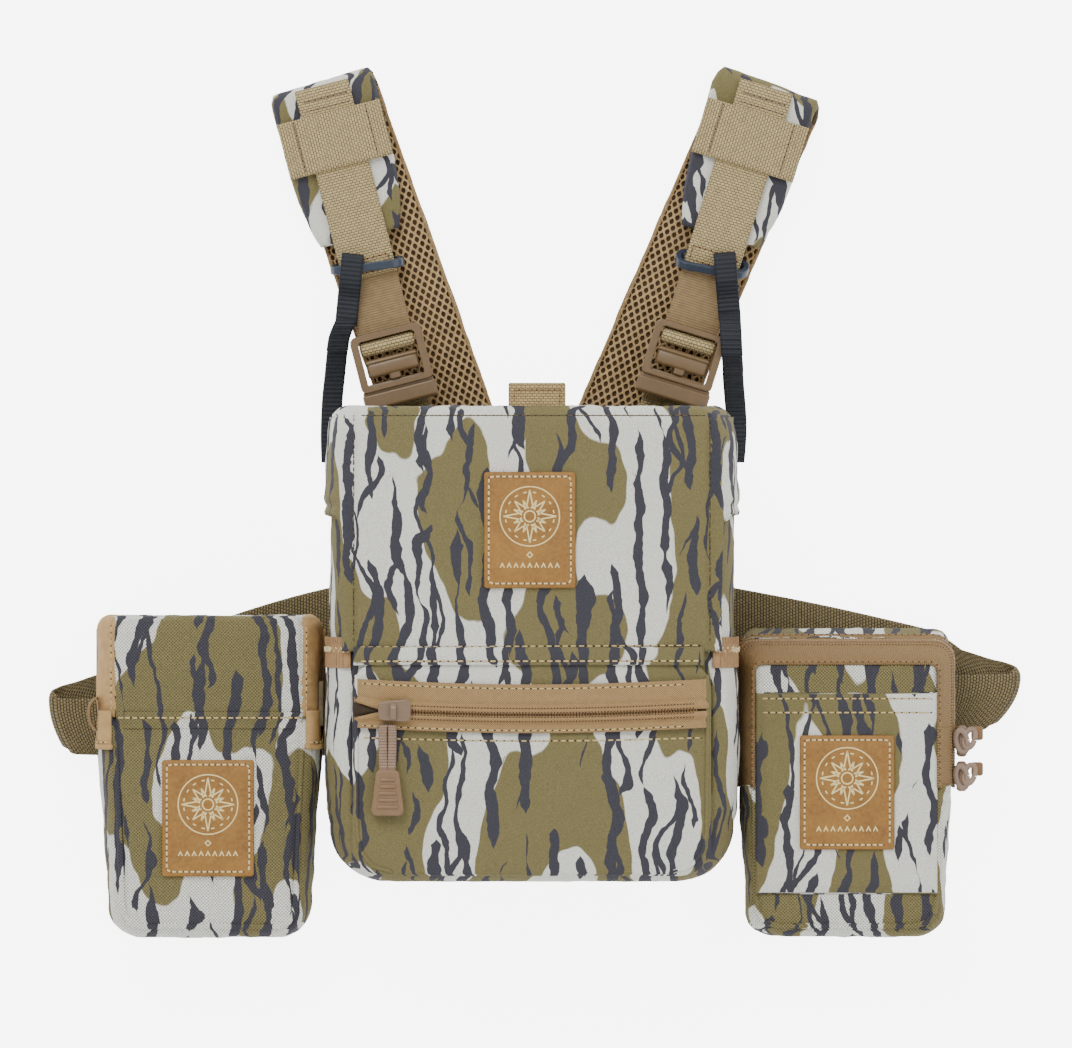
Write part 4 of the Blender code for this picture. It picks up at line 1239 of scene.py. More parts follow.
def front_pocket(m):
    """The lower front: pocket cloth and seams, then its zip."""
    outline = dense(rounded_outline(-79.6, 79.6, -102.8, -6.6, 14.0), 2.2)
    pocket = pad_mesh("front_pocket_cloth", outline, 84.2, 89.3, [m["camo_fabric"]], 1.6, 1.5, 34, 0.9)
    sculpt(pocket, lambda p, n: 0.5 * folds(p, 11.0, 4.0) * smooth_step(n.z, 0.6, 0.95)
           - 0.9 * bell(p.y + 39.6, 1.6) * smooth_step(n.z, 0.6, 0.95))
    place(pocket, "harness", "camo_fabric", "front_pocket")
    for sign, side in ((-1, "left"), (1, "right")):
        seam = [(sign * 77.6, -9.0), (sign * 77.8, -40.0), (sign * 77.4, -84.0), (sign * 75.6, -92.0),
                (sign * 70.6, -98.4), (sign * 62.0, -101.0)]
        welt(f"front_pocket_seam_{side}", Top(pocket), seam, m["camo_fabric"], "harness", "camo_fabric",
             1.7, 1.0)
    front_zip_tape(m)
    row = line_on(Top(pocket), [(x, -41.2 + sag(x) * 0.6) for x in range(-76, 77, 8)], 0.1)
    sew("front_pocket_stitches", row, m["thread_pale"], "harness", "camo_fabric", 2.5, 1.0, 0.32)
    front_zip_coil(m)
    front_slider(m)


def front_zip_tape(m):
    """Two halves of the front zip's tape, parted at the open end, with their rows of thread."""
    for half, inner, outer in (("top", 0.5, 13.6), ("low", -0.5, -8.0)):
        rows = []
        for k in range(21):
            share = (k / 20) ** 1.4
            row = []
            for j in range(130):
                x = -78.8 + 157.4 * j / 129
                spread = inner + (outer - inner) * share
                y = ZIP_Y + sag(x) + spread + math.copysign(opening(x) * (1 - share), inner)
                edge = abs(spread)
                z = 92.0 + 0.95 * bell(edge - 1.9, 1.3) + 0.3 * folds((x, y, 0.0), 16.0, 6.0) - 0.3 * share
                z -= 0.5 * bell(edge - 4.6, 0.8) + 3.0 * smooth_step(abs(x), 75.8, 78.6)
                row.append(Vector((x, y, z)))
            rows.append(row)
        uvs = [(p.x, p.y) for row in rows for p in row]
        tape = cloth_sheet(f"front_zip_tape_{half}", rows, m["zip_tape"], 0.8, uvs=uvs)
        place(tape, "harness", "zip_tape", *(("front_zip_tape",) if half == "top" else ()))
        top = Top(tape)
        edge = ZIP_Y + outer * 0.86
        for k, away in enumerate((1.0, 2.9)):
            sign = 1.0 if half == "top" else -1.0
            row = line_on(top, [(x, ZIP_Y + sign * away + sag(x)) for x in range(-66, 74, 6)], 0.1, 1.0)
            sew(f"front_zip_chain_{half}_{k}", row, m["thread_tan"], "harness", "zip_tape", 0.9, 0.5, 0.34,
                False, m["coil_dark"])
        row = line_on(top, [(x, edge + sag(x)) for x in range(-77, 75, 8)], 0.1)
        sew(f"front_zip_stitches_{half}", row, m["thread_pale"], "harness", "zip_tape", 2.3, 0.9, 0.28)


def front_zip_coil(m):
    """The dark strip between the front zip's tapes and the coil of teeth on it."""
    rows = [[Vector((x, ZIP_Y + sag(x) + v * (0.5 + opening(x)), 91.2)) for x in range(-79, 76)]
            for v in (-1, 0, 1)]
    gap = cloth_sheet("front_zip_gap", rows, m["coil_dark"], 0.5)
    place(gap, "harness", "zip_tape")
    low, high = box_mm("front_zip_coil")
    line = []
    x = low.x + 6.0
    while x < high.x:
        line.append(Vector((x, ZIP_Y + sag(x), 90.7)))
        x += 1.25
    loops = []
    for k, here in enumerate(line):
        way = (line[min(k + 1, len(line) - 1)] - line[max(k - 1, 0)]).normalized()
        side = Vector((0, 0, 1)).cross(way).normalized() * (2.6 if k % 2 else -2.6)
        loops.append((here, way, side, Vector((0, 0, 1))))
    arc = ((-0.5, -0.35), (-0.32, 0.35), (0.0, 0.5), (0.22, 0.42), (0.3, -0.3))
    teeth("front_zip_teeth", m["coil"], loops, arc, 0.5, "harness", "front_zip_coil")


def front_slider(m):
    """The front zip's slider and its bridge, and the pull: two legs of cord and a ribbed grip."""
    slider = refine("front_zip_slider", "front_slider_body", m["slider"], 0.7, 4)
    place(slider, "front_slider", "zip_grip", "front_zip_slider")
    low, high = box_mm("front_zip_slider")
    x = (low.x + high.x) / 2 - 0.5
    route = [(x, low.y + 1.2, high.z - 0.4), (x, low.y + 1.8, high.z + 1.2),
             (x, high.y - 4.0, high.z + 1.6), (x, high.y - 1.8, high.z - 0.4)]
    bridge = strap("front_slider_bridge", route, (1, 0, 0), 2.6, 1.1, m["slider"], 0.4)
    place(bridge, "front_slider", "zip_grip")

    low, high = box_mm("front_zip_cord")
    grip_low, grip_high = box_mm("front_zip_grip")
    for k, shift in enumerate((-2.05, 2.05)):
        middle = (low.x + high.x) / 2 + shift
        path = [(middle - shift * 0.1, high.y - 0.6, 94.6), (middle, high.y - 3.0, 94.0),
                (middle, (low.y + high.y) / 2, 93.9), (middle - shift * 0.2, low.y - 3.0, 94.0)]
        leg = strap(f"front_pull_cord_{k}", path, (1, 0, 0), 4.0, 1.9, m["cord"], 0.5,
                    lambda far: 0.14 * math.sin(far * 2 * math.pi / 1.5), 8, 0.1, 0.35)
        place(leg, "front_pull", "zip_grip", *(("front_zip_cord",) if k == 0 else ()))
    grip = refine("front_zip_grip", "front_pull_grip", m["grip"], 1.2, 4)
    place(grip, "front_pull", "zip_grip", "front_zip_grip")
    cx = (grip_low.x + grip_high.x) / 2
    for k in range(5):
        y = grip_low.y + 4.0 + 3.0 * k
        wide = 4.7 - 0.34 * k
        rib = cube(f"front_grip_rib_{k}", (cx - wide, y - 0.75, grip_high.z - 0.6),
                   (cx + wide, y + 0.75, grip_high.z + 0.7), m["grip"], 0.5)
        place(rib, "front_pull", "zip_grip")


def teeth(name, mat, loops, arc, radius, body, node):
    """Zip teeth: an arched loop for each (place, way along the zip, reach across it, way out)."""
    points, faces = [], []
    for here, way, across, out in loops:
        around = circle(way, out, radius)
        centres = [here + across * share + out * lift for share, lift in arc]
        add_tube(points, faces, [[centre + p for p in around] for centre in centres])
    piece = add_mesh(name, points, faces, mat)
    face_out(piece)
    place(piece, body, "zip_tape", node)


# ---------------------------------------------------------------- pouches

# X of each pouch's middle plane; Y where the right pouch's zip ends and where its door folds
LEFT_MIDDLE, RIGHT_MIDDLE = -144.2, 140.45
ZIP_FOOT, DOOR_Y = -64.4, -37.6


def box_ring(x_half, z_low, z_high, rear, front, belly, count=BAG_RING):
    """A pouch's ring about x = 0: rounded rear corners, seamed front corners and a bulging side."""
    depth = z_high - z_low
    half = [(0.0, z_low), (x_half * 0.6, z_low), (x_half - rear, z_low + 0.2),
            (x_half - 1.2, z_low + rear * 0.7), (x_half + belly * 0.7, z_low + depth * 0.35),
            (x_half + belly, z_low + depth * 0.6),
            (x_half - 0.6, z_high - front), (x_half - front * 0.5, z_high - front * 0.3),
            (x_half - front * 1.3, z_high), (x_half * 0.6, z_high + 0.4), (0.0, z_high + 0.7)]
    return closed_ring(half, count)


def mirrored(half, centre):
    """A seam down one side of a pouch and up the other, from its half."""
    return [(centre - x, y) for x, y in half] + [(centre + x, y) for x, y in reversed(half)]


def left_pouch(m):
    """The lidded pouch: its bag and patch, then its lid."""
    cx = LEFT_MIDDLE
    wide = box_ring(48.6, 13.0, 56.0, 7.0, 6.0, 1.6)
    narrow = box_ring(44.0, 14.0, 55.0, 7.0, 6.0, 1.6)

    def ring_at(y):
        share = smooth_step(y, -118.0, -40.0)
        tuck = 1.0 - 0.055 * smooth_step(y, -36.0, -32.5)
        ring = [b.lerp(a, share) for a, b in zip(wide, narrow)]
        return [Vector((cx + p.x * tuck, 34.5 + (p.y - 34.5) * tuck)) for p in ring]

    piece = bag("left_pouch_bag", [m["camo_canvas"]], -131.6, 8.3, ring_at, 15.0, 9.0, (cx, 34.5))

    def shape(p, n):
        x = abs(p.x - cx)
        flat = smooth_step(n.z, 0.6, 0.95)
        seam = bell(x - 41.8 + 4.6 * smooth_step(-p.y, 40.0, 118.0), 0.8) * smooth_step(p.z, 49.0, 53.0)
        seam *= smooth_step(p.y, -128.0, -118.0)
        low = bell(p.y + 124.5, 0.8) * flat
        return 0.45 * folds(p, 16.0, 7.0) + 0.5 * folds(p, 9.0, 2.0) * (1 - flat) - 1.5 * seam - 1.2 * low

    sculpt(piece, shape)
    thicken(piece, 2.0)
    place(piece, "left_pouch", "camo_canvas", "left_pouch_shell")
    top = Top(piece)
    half = [(41.6, -46.5), (39.0, -112.0), (38.2, -120.5), (35.4, -124.8), (30.0, -126.4)]
    welt("left_pouch_seam", top, mirrored(half, cx), m["camo_canvas"], "left_pouch")
    low, high = box_mm("left_pouch_patch")
    leather_patch(m, "left_patch_leather", (low.x, high.x, low.y, high.y), top, "left_pouch",
                  "left_pouch_patch", 2.0)
    left_lid(m)
    left_lid_hinge(m)


def left_lid(m):
    """The left pouch's lid: cloth, side seams and bound wings."""
    cx = LEFT_MIDDLE
    side = [(0.0, 59.9), (26.0, 59.7), (38.0, 59.0), (42.0, 57.9), (45.6, 54.6), (48.6, 49.0), (50.3, 40.0),
            (50.4, 29.0), (49.6, 20.0)]

    def low_at(y):
        return 54.0 - 34.0 * smooth_step(y, -34.4, -31.0)

    def lid_shape(p, n):
        x = abs(p.x - cx)
        flat = smooth_step(n.z, 0.5, 0.95)
        seam = bell(x - 42.0, 1.0) * smooth_step(p.z, 52.0, 57.0)
        pucker = math.sin(p.y * 2 * math.pi / 3.6) * bell(x - 44.4, 2.0)
        edge = bell(p.y - 8.6, 1.1) * flat
        relief = 0.42 * folds(p, 15.0, 9.0) + 0.5 * folds(p, 8.0) * (1 - flat)
        return relief - 0.8 * seam + 0.3 * pucker - 0.4 * edge

    def control_at(y):
        drop = 2.3 * (1 - smooth_step(y, -33.0, -8.0))
        return [(x, z - drop * smooth_step(z, 50.0, 57.0)) for x, z in side]

    ys = [-33.0 + 1.2 * k for k in range(33)]
    lid = lid_mesh("left_lid_cloth", [m["camo_canvas"], m["wing_cloth"]], cx, ys, 12.2, control_at, 55.0,
                   low_at, 6.0, 3.2, 1.6, lid_shape, 72, 0.0, 42.0)
    place(lid, "left_lid", "camo_canvas", "left_pouch_lid")
    surface = Top(lid)
    for name, x in (("outer", cx - 43.6), ("inner", cx + 43.6)):
        row = line_on(surface, [(x, -31.0), (x, 8.0)], 0.1)
        sew(f"left_lid_seam_{name}", row, m["thread_pale"], "left_lid", "camo_canvas", 2.2, 0.8, 0.3)
    for sign, name in ((-1.0, "outer"), (1.0, "inner")):
        wing_binding(m, sign, name)


def left_lid_hinge(m):
    """The cloth that the left lid turns on, its elastic loop and its hook tape."""
    cx = LEFT_MIDDLE
    rows = []
    for k in range(13):
        y = -38.0 + 7.4 * k / 12
        bend = 56.9 + 1.4 * smooth_step(y, -38.0, -31.0)
        rows.append([Vector((cx + x * 1.66, y, bend + 0.25 * folds((x * 1.7, y, 0), 9.0)
                             - 1.8 * smooth_step(abs(x), 21, 25))) for x in range(-25, 26)])
    strip = cloth_sheet("left_lid_hinge_strip", rows, m["camo_canvas"], 1.0)
    stretch(strip, ("left_pouch", "left_lid"), LEFT_LID_FOLD, "camo_canvas")
    row = line_on(Top(strip), [(cx - 41.0, -33.2), (cx + 41.0, -33.2)], 0.1)
    thread = stitches("left_hinge_stitches", row, m["thread_pale"], 2.5, 0.8, 0.34)
    stretch(thread, ("left_pouch", "left_lid"), LEFT_LID_FOLD, "camo_canvas")

    low, high = box_mm("left_elastic_loop")
    x = cx - 50.6
    route = [(x + 0.4, -24.6, 46.5), (x - 1.4, -25.4, 47.0), (x - 3.0, -28.0, 46.5), (x - 3.2, -31.5, 46.0),
             (x - 2.6, -35.4, 45.6), (x - 0.8, -38.4, 45.4), (x + 0.2, -39.2, 45.2)]
    loop = strap("left_loop_band", route, (0, 0, 1), 9.6, 1.3, m["fine_elastic"], 0.5)
    place(loop, "left_lid", "elastic", "left_elastic_loop")
    hook = cube("left_hook_tape", (cx + 49.0, -37.0, 38.0), (cx + 51.2, -17.0, 52.0), m["hook"], 0.6)
    place(hook, "left_lid", "elastic")


def wing_binding(m, sign, name):
    """The folded tape round a wing of the left lid."""
    def outward(deep):
        """The wing's half width and height from its lid edge (0) to its foot (1)."""
        z = 57.2 - 36.2 * deep
        half = 41.8 + math.sqrt(max(8.2 ** 2 - max(z - 49.2, 0.0) ** 2, 0.0))
        return half, z

    def edge(deep):
        return -46.0 + 4.0 * smooth_step(deep, 0.1, 0.6) + 10.0 * smooth_step(deep, 0.55, 1.0)

    wing = []
    for k in range(21):
        row = []
        for deep in (j / 24 for j in range(25)):
            half, z = outward(deep)
            y = -30.0 + (edge(deep) + 30.0) * k / 20
            row.append(Vector((LEFT_MIDDLE + sign * (half + 0.3 * folds((sign, y, z), 9.0)), y, z)))
        wing.append(row)
    path = [p + Vector((0.0, -0.2, 0.0)) for p in wing[-1][::3]]
    path += [Vector((LEFT_MIDDLE + sign * 50.6, y, 20.2)) for y in (-24.0, -8.0, 6.0)]
    uvs = [(p.y, p.z) for row in wing for p in row]
    cloth = cloth_sheet(f"left_wing_{name}", wing, m["wing_cloth"], 1.0, 0, sign, uvs)
    place(cloth, "left_lid", "camo_canvas")
    row = [(p + Vector((sign * 0.6, 1.8, 0.4)), Vector((sign, 0.0, 0.6)).normalized()) for p in wing[-1]]
    sew(f"left_wing_{name}_stitches", row, m["thread_pale"], "left_lid", "camo_canvas", 2.0, 0.8, 0.3)
    tape = strap(f"left_binding_{name}", path, (sign, 0, 0.25), 2.0, 1.6, m["wing_cloth"], 1.0, None, 4,
                 0.05, 0.4)
    place(tape, "left_lid", "camo_canvas")


def right_pouch(m):
    """The zipped pouch: its body and door, then the patch pocket and the zip on them."""
    cx = RIGHT_MIDDLE
    full = box_ring(46.8, 13.0, 53.6, 7.0, 6.0, 0.6)

    def ring_at(y):
        slim = 2.6 * smooth_step(-y, 66.0, 112.0)
        return [Vector((cx + p.x * (46.8 - slim) / 46.8, p.y)) for p in full]

    def shape(p, n):
        x = abs(p.x - cx)
        flat = smooth_step(n.z, 0.6, 0.95)
        seam = bell(x - 40.6, 1.1) * smooth_step(p.z, 48.0, 52.0)
        low = bell(p.y + 124.0, 1.1) * flat
        pucker = math.sin(p.y * 2 * math.pi / 4.0) * bell(x - 43.0, 2.2) * smooth_step(p.z, 40.0, 50.0)
        return (0.42 * folds(p, 15.0, 11.0) + 0.45 * folds(p, 8.0, 4.0) * (1 - flat) - 0.8 * seam - 0.6 * low
                + 0.3 * pucker)

    body = bag("right_pouch_bag", [m["camo_canvas"]], -131.2, 6.2, ring_at, 13.0, 8.0, (cx, 33.3), False)
    sculpt(body, shape)
    drop_faces(body, lambda p: p.z > 35.0 and (p.y > -37.4 or (p.y > -64.6 and abs(p.x - cx) > 41.4)))
    for vertex in body.data.vertices:
        lean = 0.36 * max(vertex.co.z / MM - 24.0, 0.0) * smooth_step(vertex.co.y / MM, -14.0, 5.0)
        vertex.co.y -= lean * MM
    thicken(body, 2.0)
    place(body, "right_pouch", "camo_canvas", "right_pouch_body")

    half = [(41.4, -65.6), (40.2, -112.0), (39.4, -119.5), (36.0, -124.6), (30.0, -126.2)]
    welt("right_pouch_seam", Top(body), mirrored(half, cx), m["camo_canvas"], "right_pouch")
    side = [(0.0, 54.8), (26.0, 54.7), (36.0, 54.4), (39.6, 53.9), (41.2, 52.6), (41.9, 46.0), (42.2, 40.0),
            (42.4, 36.6)]

    def door_shape(p, n):
        x = abs(p.x - cx)
        flat = smooth_step(n.z, 0.6, 0.95)
        seam = bell(x - 40.8, 1.0) * smooth_step(p.z, 48.0, 53.0)
        relief = 0.4 * folds(p, 14.0, 13.0) + 0.4 * folds(p, 8.0) * (1 - flat)
        return relief - 0.7 * seam - 0.5 * bell(p.y + 8.2, 0.9) * flat

    ys = [-36.6 + 1.2 * k for k in range(21)]
    door = lid_mesh("right_door_cloth", [m["camo_canvas"]], cx, ys, -2.0, lambda y: side, 52.6,
                    lambda y: 36.6, 3.0, 1.2, 1.5, door_shape, 66, 0.42, None, True)
    place(door, "right_door", "camo_canvas", "right_pouch_door")
    right_patch_pocket(m)
    right_zip(m)


def right_patch_pocket(m):
    """The smooth patch pocket, which runs across the door's fold, and its leather patch."""
    cx = RIGHT_MIDDLE
    rows = []
    for y in (-112.0 + 90.2 * k / 73 for k in range(74)):
        row = [Vector((cx - 40.6 + 81.2 * j / 60, y, 0.0)) for j in range(61)]
        for p in row:
            inset = min(p.x - cx + 40.6, cx + 40.6 - p.x, p.y + 112.0, -21.8 - p.y)
            relief = 0.45 * folds(p, 17.0, 5.0) * smooth_step(inset, 0.0, 6.0)
            p.z = 54.5 + 1.4 * smooth_step(inset, -0.5, 3.0) + relief - 0.7 * bell(inset - 2.6, 0.9)
        rows.append(row)
    pocket = cloth_sheet("right_pocket_cloth", rows, m["camo_fabric"], 1.3)
    stretch(pocket, ("right_pouch", "right_door"), DOOR_FOLD, "camo_fabric", "right_pocket_lower",
            "right_pocket_upper")
    surface = Top(pocket)
    for name, y in (("first", -24.7), ("second", -30.9)):
        row = line_on(surface, [(cx - 38.0, y), (cx + 38.0, y)], 0.1)
        sew(f"right_pocket_{name}", row, m["thread_pale"], "right_door", "camo_fabric", 2.5, 0.8, 0.32)
    low, high = box_mm("right_pouch_patch")
    leather_patch(m, "right_patch_leather", (low.x, high.x, low.y, high.y), surface, "right_pouch",
                  "right_pouch_patch", 2.0)


def right_zip(m):
    """The right pouch's zip: its tapes, its teeth, and two sliders with linked pull blocks."""
    outer = zip_line(91.0, 189.4, 4.0, 9.5)
    coil = zip_line(91.6, 188.8, 0.7, 8.6)
    panel = zip_line(98.9, 181.6, -9.0, 4.0)
    zip_band(m, "right_zip_tape_body_cloth", coil, outer, 37.0, 31.2, ZIP_FOOT, 0.5, "right_pouch",
             "right_zip_tape_body", 0.86)
    zip_band(m, "right_zip_tape_door_cloth", coil, panel, 38.4, 55.2, DOOR_Y, 1.6, "right_door", None, 0.93)
    zip_band(m, "right_zip_tape_low_cloth", coil, panel, 38.4, 55.2, None, 1.6, "right_pouch", None, 0.93)
    zip_teeth(m, resample([Vector((x, y, 37.7)) for x, y in coil], 190))

    for name, body_name, pull_body in (("upper", "upper_slider", "upper_pull"),
                                       ("lower", "lower_slider", "lower_pull")):
        slider = refine(f"right_slider_{name}", f"right_{name}_slider_body", m["slider"], 1.1, 4)
        place(slider, body_name, "zip_grip", f"right_slider_{name}")
        low, high = box_mm(f"right_pull_{name}")
        middle = (low + high) / 2
        tip = cube(f"right_{name}_pull_tip", (middle.x - 1.4, middle.y - 1.6, low.z - 0.4),
                   (high.x + 0.9, middle.y + 4.6, high.z + 0.4), m["block"], 1.2)
        place(tip, pull_body, "zip_grip", f"right_pull_{name}")
        # One link hangs on the slider, the next one carries the block and swings with it
        for k, (x, y, z, wide, tall, turn, rider) in enumerate((
                (low.x - 2.9, middle.y - 2.0, 40.2, 2.5, 5.0, 0.2, body_name),
                (low.x + 0.7, middle.y - 0.8, 38.8, 2.3, 4.3, -0.3, pull_body))):
            ring = []
            for angle in (2 * math.pi * j / 16 for j in range(17)):
                flat = Matrix.Rotation(turn, 2) @ Vector((wide * math.cos(angle), tall * math.sin(angle)))
                ring.append((x + flat.x, y + flat.y, z + 0.9 * math.sin(angle + 3.0 * k)))
            link = strap(f"right_{name}_pull_link_{k}", ring, (0, 0, 1), 1.9, 1.9, m["pull_cord"], 0.6, None,
                         4, 0.22, 0.3)
            place(link, rider, "zip_grip")


def zip_line(left, right, top, radius):
    """A way round the right pouch as (x, y) pairs: up one side, over the top and down the other."""
    line = [(right, y) for y in (ZIP_FOOT, -50.0, DOOR_Y, -20.0)]
    for centre, start in ((right - radius, 0.0), (left + radius, 90.0)):
        for k in range(9):
            angle = math.radians(start + 90 * k / 8)
            line.append((centre + radius * math.cos(angle), top - radius + radius * math.sin(angle)))
        if start == 0.0:
            line += [(right + (left - right) * k / 6, top) for k in range(1, 6)]
    return line + [(left, y) for y in (-20.0, DOOR_Y, -50.0, ZIP_FOOT)]


def zip_band(m, name, inner, outer, z_in, z_out, low_y, bulge, body, node, seam):
    """One half of the zip's tape, sloping between two ways round the pouch; None takes both low ends."""
    ends = low_y is None
    pairs = [(a, b) for a, b in zip(inner, outer) if ends or a[1] >= low_y - 0.01]
    groups = [pairs]
    if ends:
        groups = [[q for q in some if q[0][1] <= DOOR_Y + 0.1] for some in (pairs[:4], pairs[-4:])]
    for number, group in enumerate(groups):
        first = resample([Vector((*a, z_in)) for a, b in group], 24 if ends else 200)
        last = resample([Vector((*b, z_out)) for a, b in group], 24 if ends else 200)
        far, far_now = [0.0], 0.0
        for a, b in zip(first, first[1:]):
            far_now += (b - a).length
            far.append(far_now)
        rows, uvs = [], []
        for k in range(13):
            share = k / 12
            lift = bulge * math.sin(math.pi * share)
            row = []
            for j, (a, b) in enumerate(zip(first, last)):
                p = a.lerp(b, share)
                row.append(p + Vector((0, 0, lift + 0.2 * folds(p, 9.0))))
                uvs.append((share * (last[j] - a).length, far[j]))
            rows.append(row)
        piece = f"{name}_{number}" if ends else name
        tape = cloth_sheet(piece, rows, m["pouch_tape"], 0.8, uvs=uvs)
        place(tape, body, "zip_tape", *((node,) if node else ()))
        for k, share in enumerate((0.14, seam)):
            row = []
            for j in range(0, len(first), 2):
                p = first[j].lerp(last[j], share)
                row.append((p + Vector((0, 0, bulge * math.sin(math.pi * share) + 0.22)), Vector((0, 0, 1))))
            thread = stitches(f"{name}_{number}_row_{k}", row, m["coil"] if k == 0 else m["thread_tan"],
                              1.0 if k == 0 else 2.0, 0.35 if k == 0 else 0.8, 0.3)
            place(thread, body, "zip_tape")


def zip_teeth(m, line):
    """The coil of the right pouch's zip, standing on its side walls."""
    loops = []
    for n, here in enumerate(resample(line, 330)):
        k = min(max(round(n * (len(line) - 1) / 329), 1), len(line) - 2)
        way = (line[k + 1] - line[k - 1]).normalized()
        loops.append((here, way, Vector((0, 0, 3.0 if n % 2 else -3.0)), Vector((way.y, -way.x, 0.0))))
    arc = ((-0.5, -0.4), (-0.25, 0.3), (0.1, 0.5), (0.3, -0.2))
    teeth("right_zip_teeth", m["coil"], loops, arc, 0.42, "right_pouch", "right_zip_coil")


def belt_loops(m):
    """The webbing strips that hold the pouches to the side straps."""
    for side, strap_y, x0, x1 in (("left", -38.5, -170.0, -118.0), ("right", -28.0, 114.0, 166.0)):
        high, low = strap_y + 16.7, strap_y - 16.7
        profile = [(high - 4.0, 12.2), (high, 12.0), (high + 1.5, 10.0), (high, 7.9), (high - 4.0, 7.4),
                   (strap_y, 7.3), (low + 4.0, 7.4), (low, 7.9), (low - 1.5, 10.0), (low, 12.0),
                   (low + 4.0, 12.2)]
        route = [((x0 + x1) / 2, y, z) for y, z in profile]
        band = strap(f"{side}_belt_band", route, (1, 0, 0), x1 - x0, 1.2, m["belt_webbing"], 1.2)
        place(band, f"{side}_pouch", "webbing", f"{side}_belt_loop")


# ---------------------------------------------------------------- harness

BUCKLE = {"left": ((-63.3, 128.0), 14.4), "right": ((68.3, 129.2), -17.2)}
PAD_WIDTH = 48.0
BAND_WIDTH, WEB_WIDTH = 24.6, 24.8
PAD_REAR = {"left": ((-29.6, 68.7), (-92.8, 245.8)), "right": ((30.6, 68.7), (106.6, 245.0))}


def front_place(side):
    """The frame of a front strap: its origin at the buckle, +Y up the strap."""
    (x, y), lean = BUCKLE[side]
    return Matrix.Translation((x, y, 0.0)) @ Matrix.Rotation(math.radians(lean), 4, "Z")


def shoulder_pad(m, side):
    """A padded strap: camouflage outside, open mesh inside."""
    rear = PAD_REAR[side]
    low, high = Vector((*rear[0], 3.2)), Vector((*rear[1], 3.2))
    rise = (high - low).normalized()
    rear_across = Vector((rise.y, -rise.x, 0.0))
    to_front = front_place(side)
    across = to_front.to_3x3() @ Vector((1.0, 0.0, 0.0))
    tip, fold = to_front @ Vector((0.0, 56.0, 12.2)), to_front @ Vector((0.0, 121.5, 12.2))
    route = [low, low.lerp(high, 0.33), low.lerp(high, 0.66), low.lerp(high, 0.93), high]
    ways = [rear_across] * 5
    spans = [PAD_WIDTH] * 5
    for k in range(1, 6):
        angle = math.pi * k / 6
        over = rear_across.lerp(across, k / 6).normalized()
        out = Vector((-over.y, over.x, 0.0))
        centre = Vector((*high.lerp(fold, k / 6).xy, 7.7))
        route.append(centre + out * 4.5 * math.sin(angle) - Vector((0, 0, 4.5 * math.cos(angle))))
        ways.append(over)
        spans.append(PAD_WIDTH)
    route += [fold, fold.lerp(tip, 0.25), fold.lerp(tip, 0.5), fold.lerp(tip, 0.78), tip]
    ways += [across] * 5
    spans += [PAD_WIDTH, PAD_WIDTH, 47.6, 44.0, 36.5]
    pad = strap(f"shoulder_{side}_pad", route, ways, spans, 5.4, [m["camo_strap"], m["mesh_dark"]], 2.2,
                None, 26, 0.035, 0.4)
    sculpt(pad, lambda p, n: 0.38 * folds(p, 14.0, 15.0) + 0.25 * folds(p, 7.0, 3.0))
    place(pad, "harness", "air_mesh", f"shoulder_pad_{side}")
    mesh_net(m, side, low, high, rise, rear_across)

    # A folded tape along both edges of the inner face
    for name, u in (("outer", -1.0), ("inner", 1.0)):
        line = []
        for k in range(40):
            v = 2.0 + ((high - low).length - 5.0) * k / 39
            line.append(low + rise * v + rear_across * u * 23.0 + Vector((0, 0, 3.15)))
        tape = strap(f"shoulder_{side}_edge_{name}", line, rear_across, 1.7, 1.0, m["edge_cloth"], 2.0, None,
                     4, 0.05, 0.3)
        place(tape, "harness", "webbing")


def mesh_net(m, side, low, high, rise, across):
    """Air mesh: a net of yarn with long staggered holes, on the pad's inner face."""
    points, faces = [], []
    length = (high - low).length - 2.0
    half = 22.2
    pitch_u, pitch_v = 3.5, 2.55
    # Each hole's surround is a six-sided cell; its yarn rises between the holes
    cell = [(1.75, 0.675), (0.0, 1.875), (-1.75, 0.675), (-1.75, -0.675), (0.0, -1.875), (1.75, -0.675)]
    around = []
    for k in range(6):
        a, b = Vector(cell[k]), Vector(cell[(k + 1) % 6])
        around += [a, a.lerp(b, 0.5)]
    rings = [(1.0, 1.0, 0.72), (0.82, 0.92, 0.95), (0.62, 0.82, 0.72), (0.52, 0.76, 0.1)]
    rows = int(length / pitch_v)
    columns = int(2 * half / pitch_u)
    for r in range(rows):
        for c in range(columns + 1):
            u = -half + pitch_u * (c + (0.5 if r % 2 else 0.0)) + 0.6
            if abs(u) > half:
                continue
            v = 1.5 + pitch_v * r
            base = len(points)
            for wide, tall, lift in rings:
                for q in around:
                    spot = low + rise * (v + q.y * tall) + across * (u + q.x * wide)
                    points.append(Vector((spot.x, spot.y, 6.35 + lift)))
            faces += quads(len(rings), len(around), base)
    for p in points:
        p.z += 0.35 * folds((p.x, p.y, 0.0), 14.0, 15.0)
    net = add_mesh(f"shoulder_{side}_net", points, faces, m["mesh"])
    change_mesh(net, lambda bm: bmesh.ops.remove_doubles(bm, verts=bm.verts, dist=0.00003))
    face_to(net, 2)
    place(net, "harness", "air_mesh")


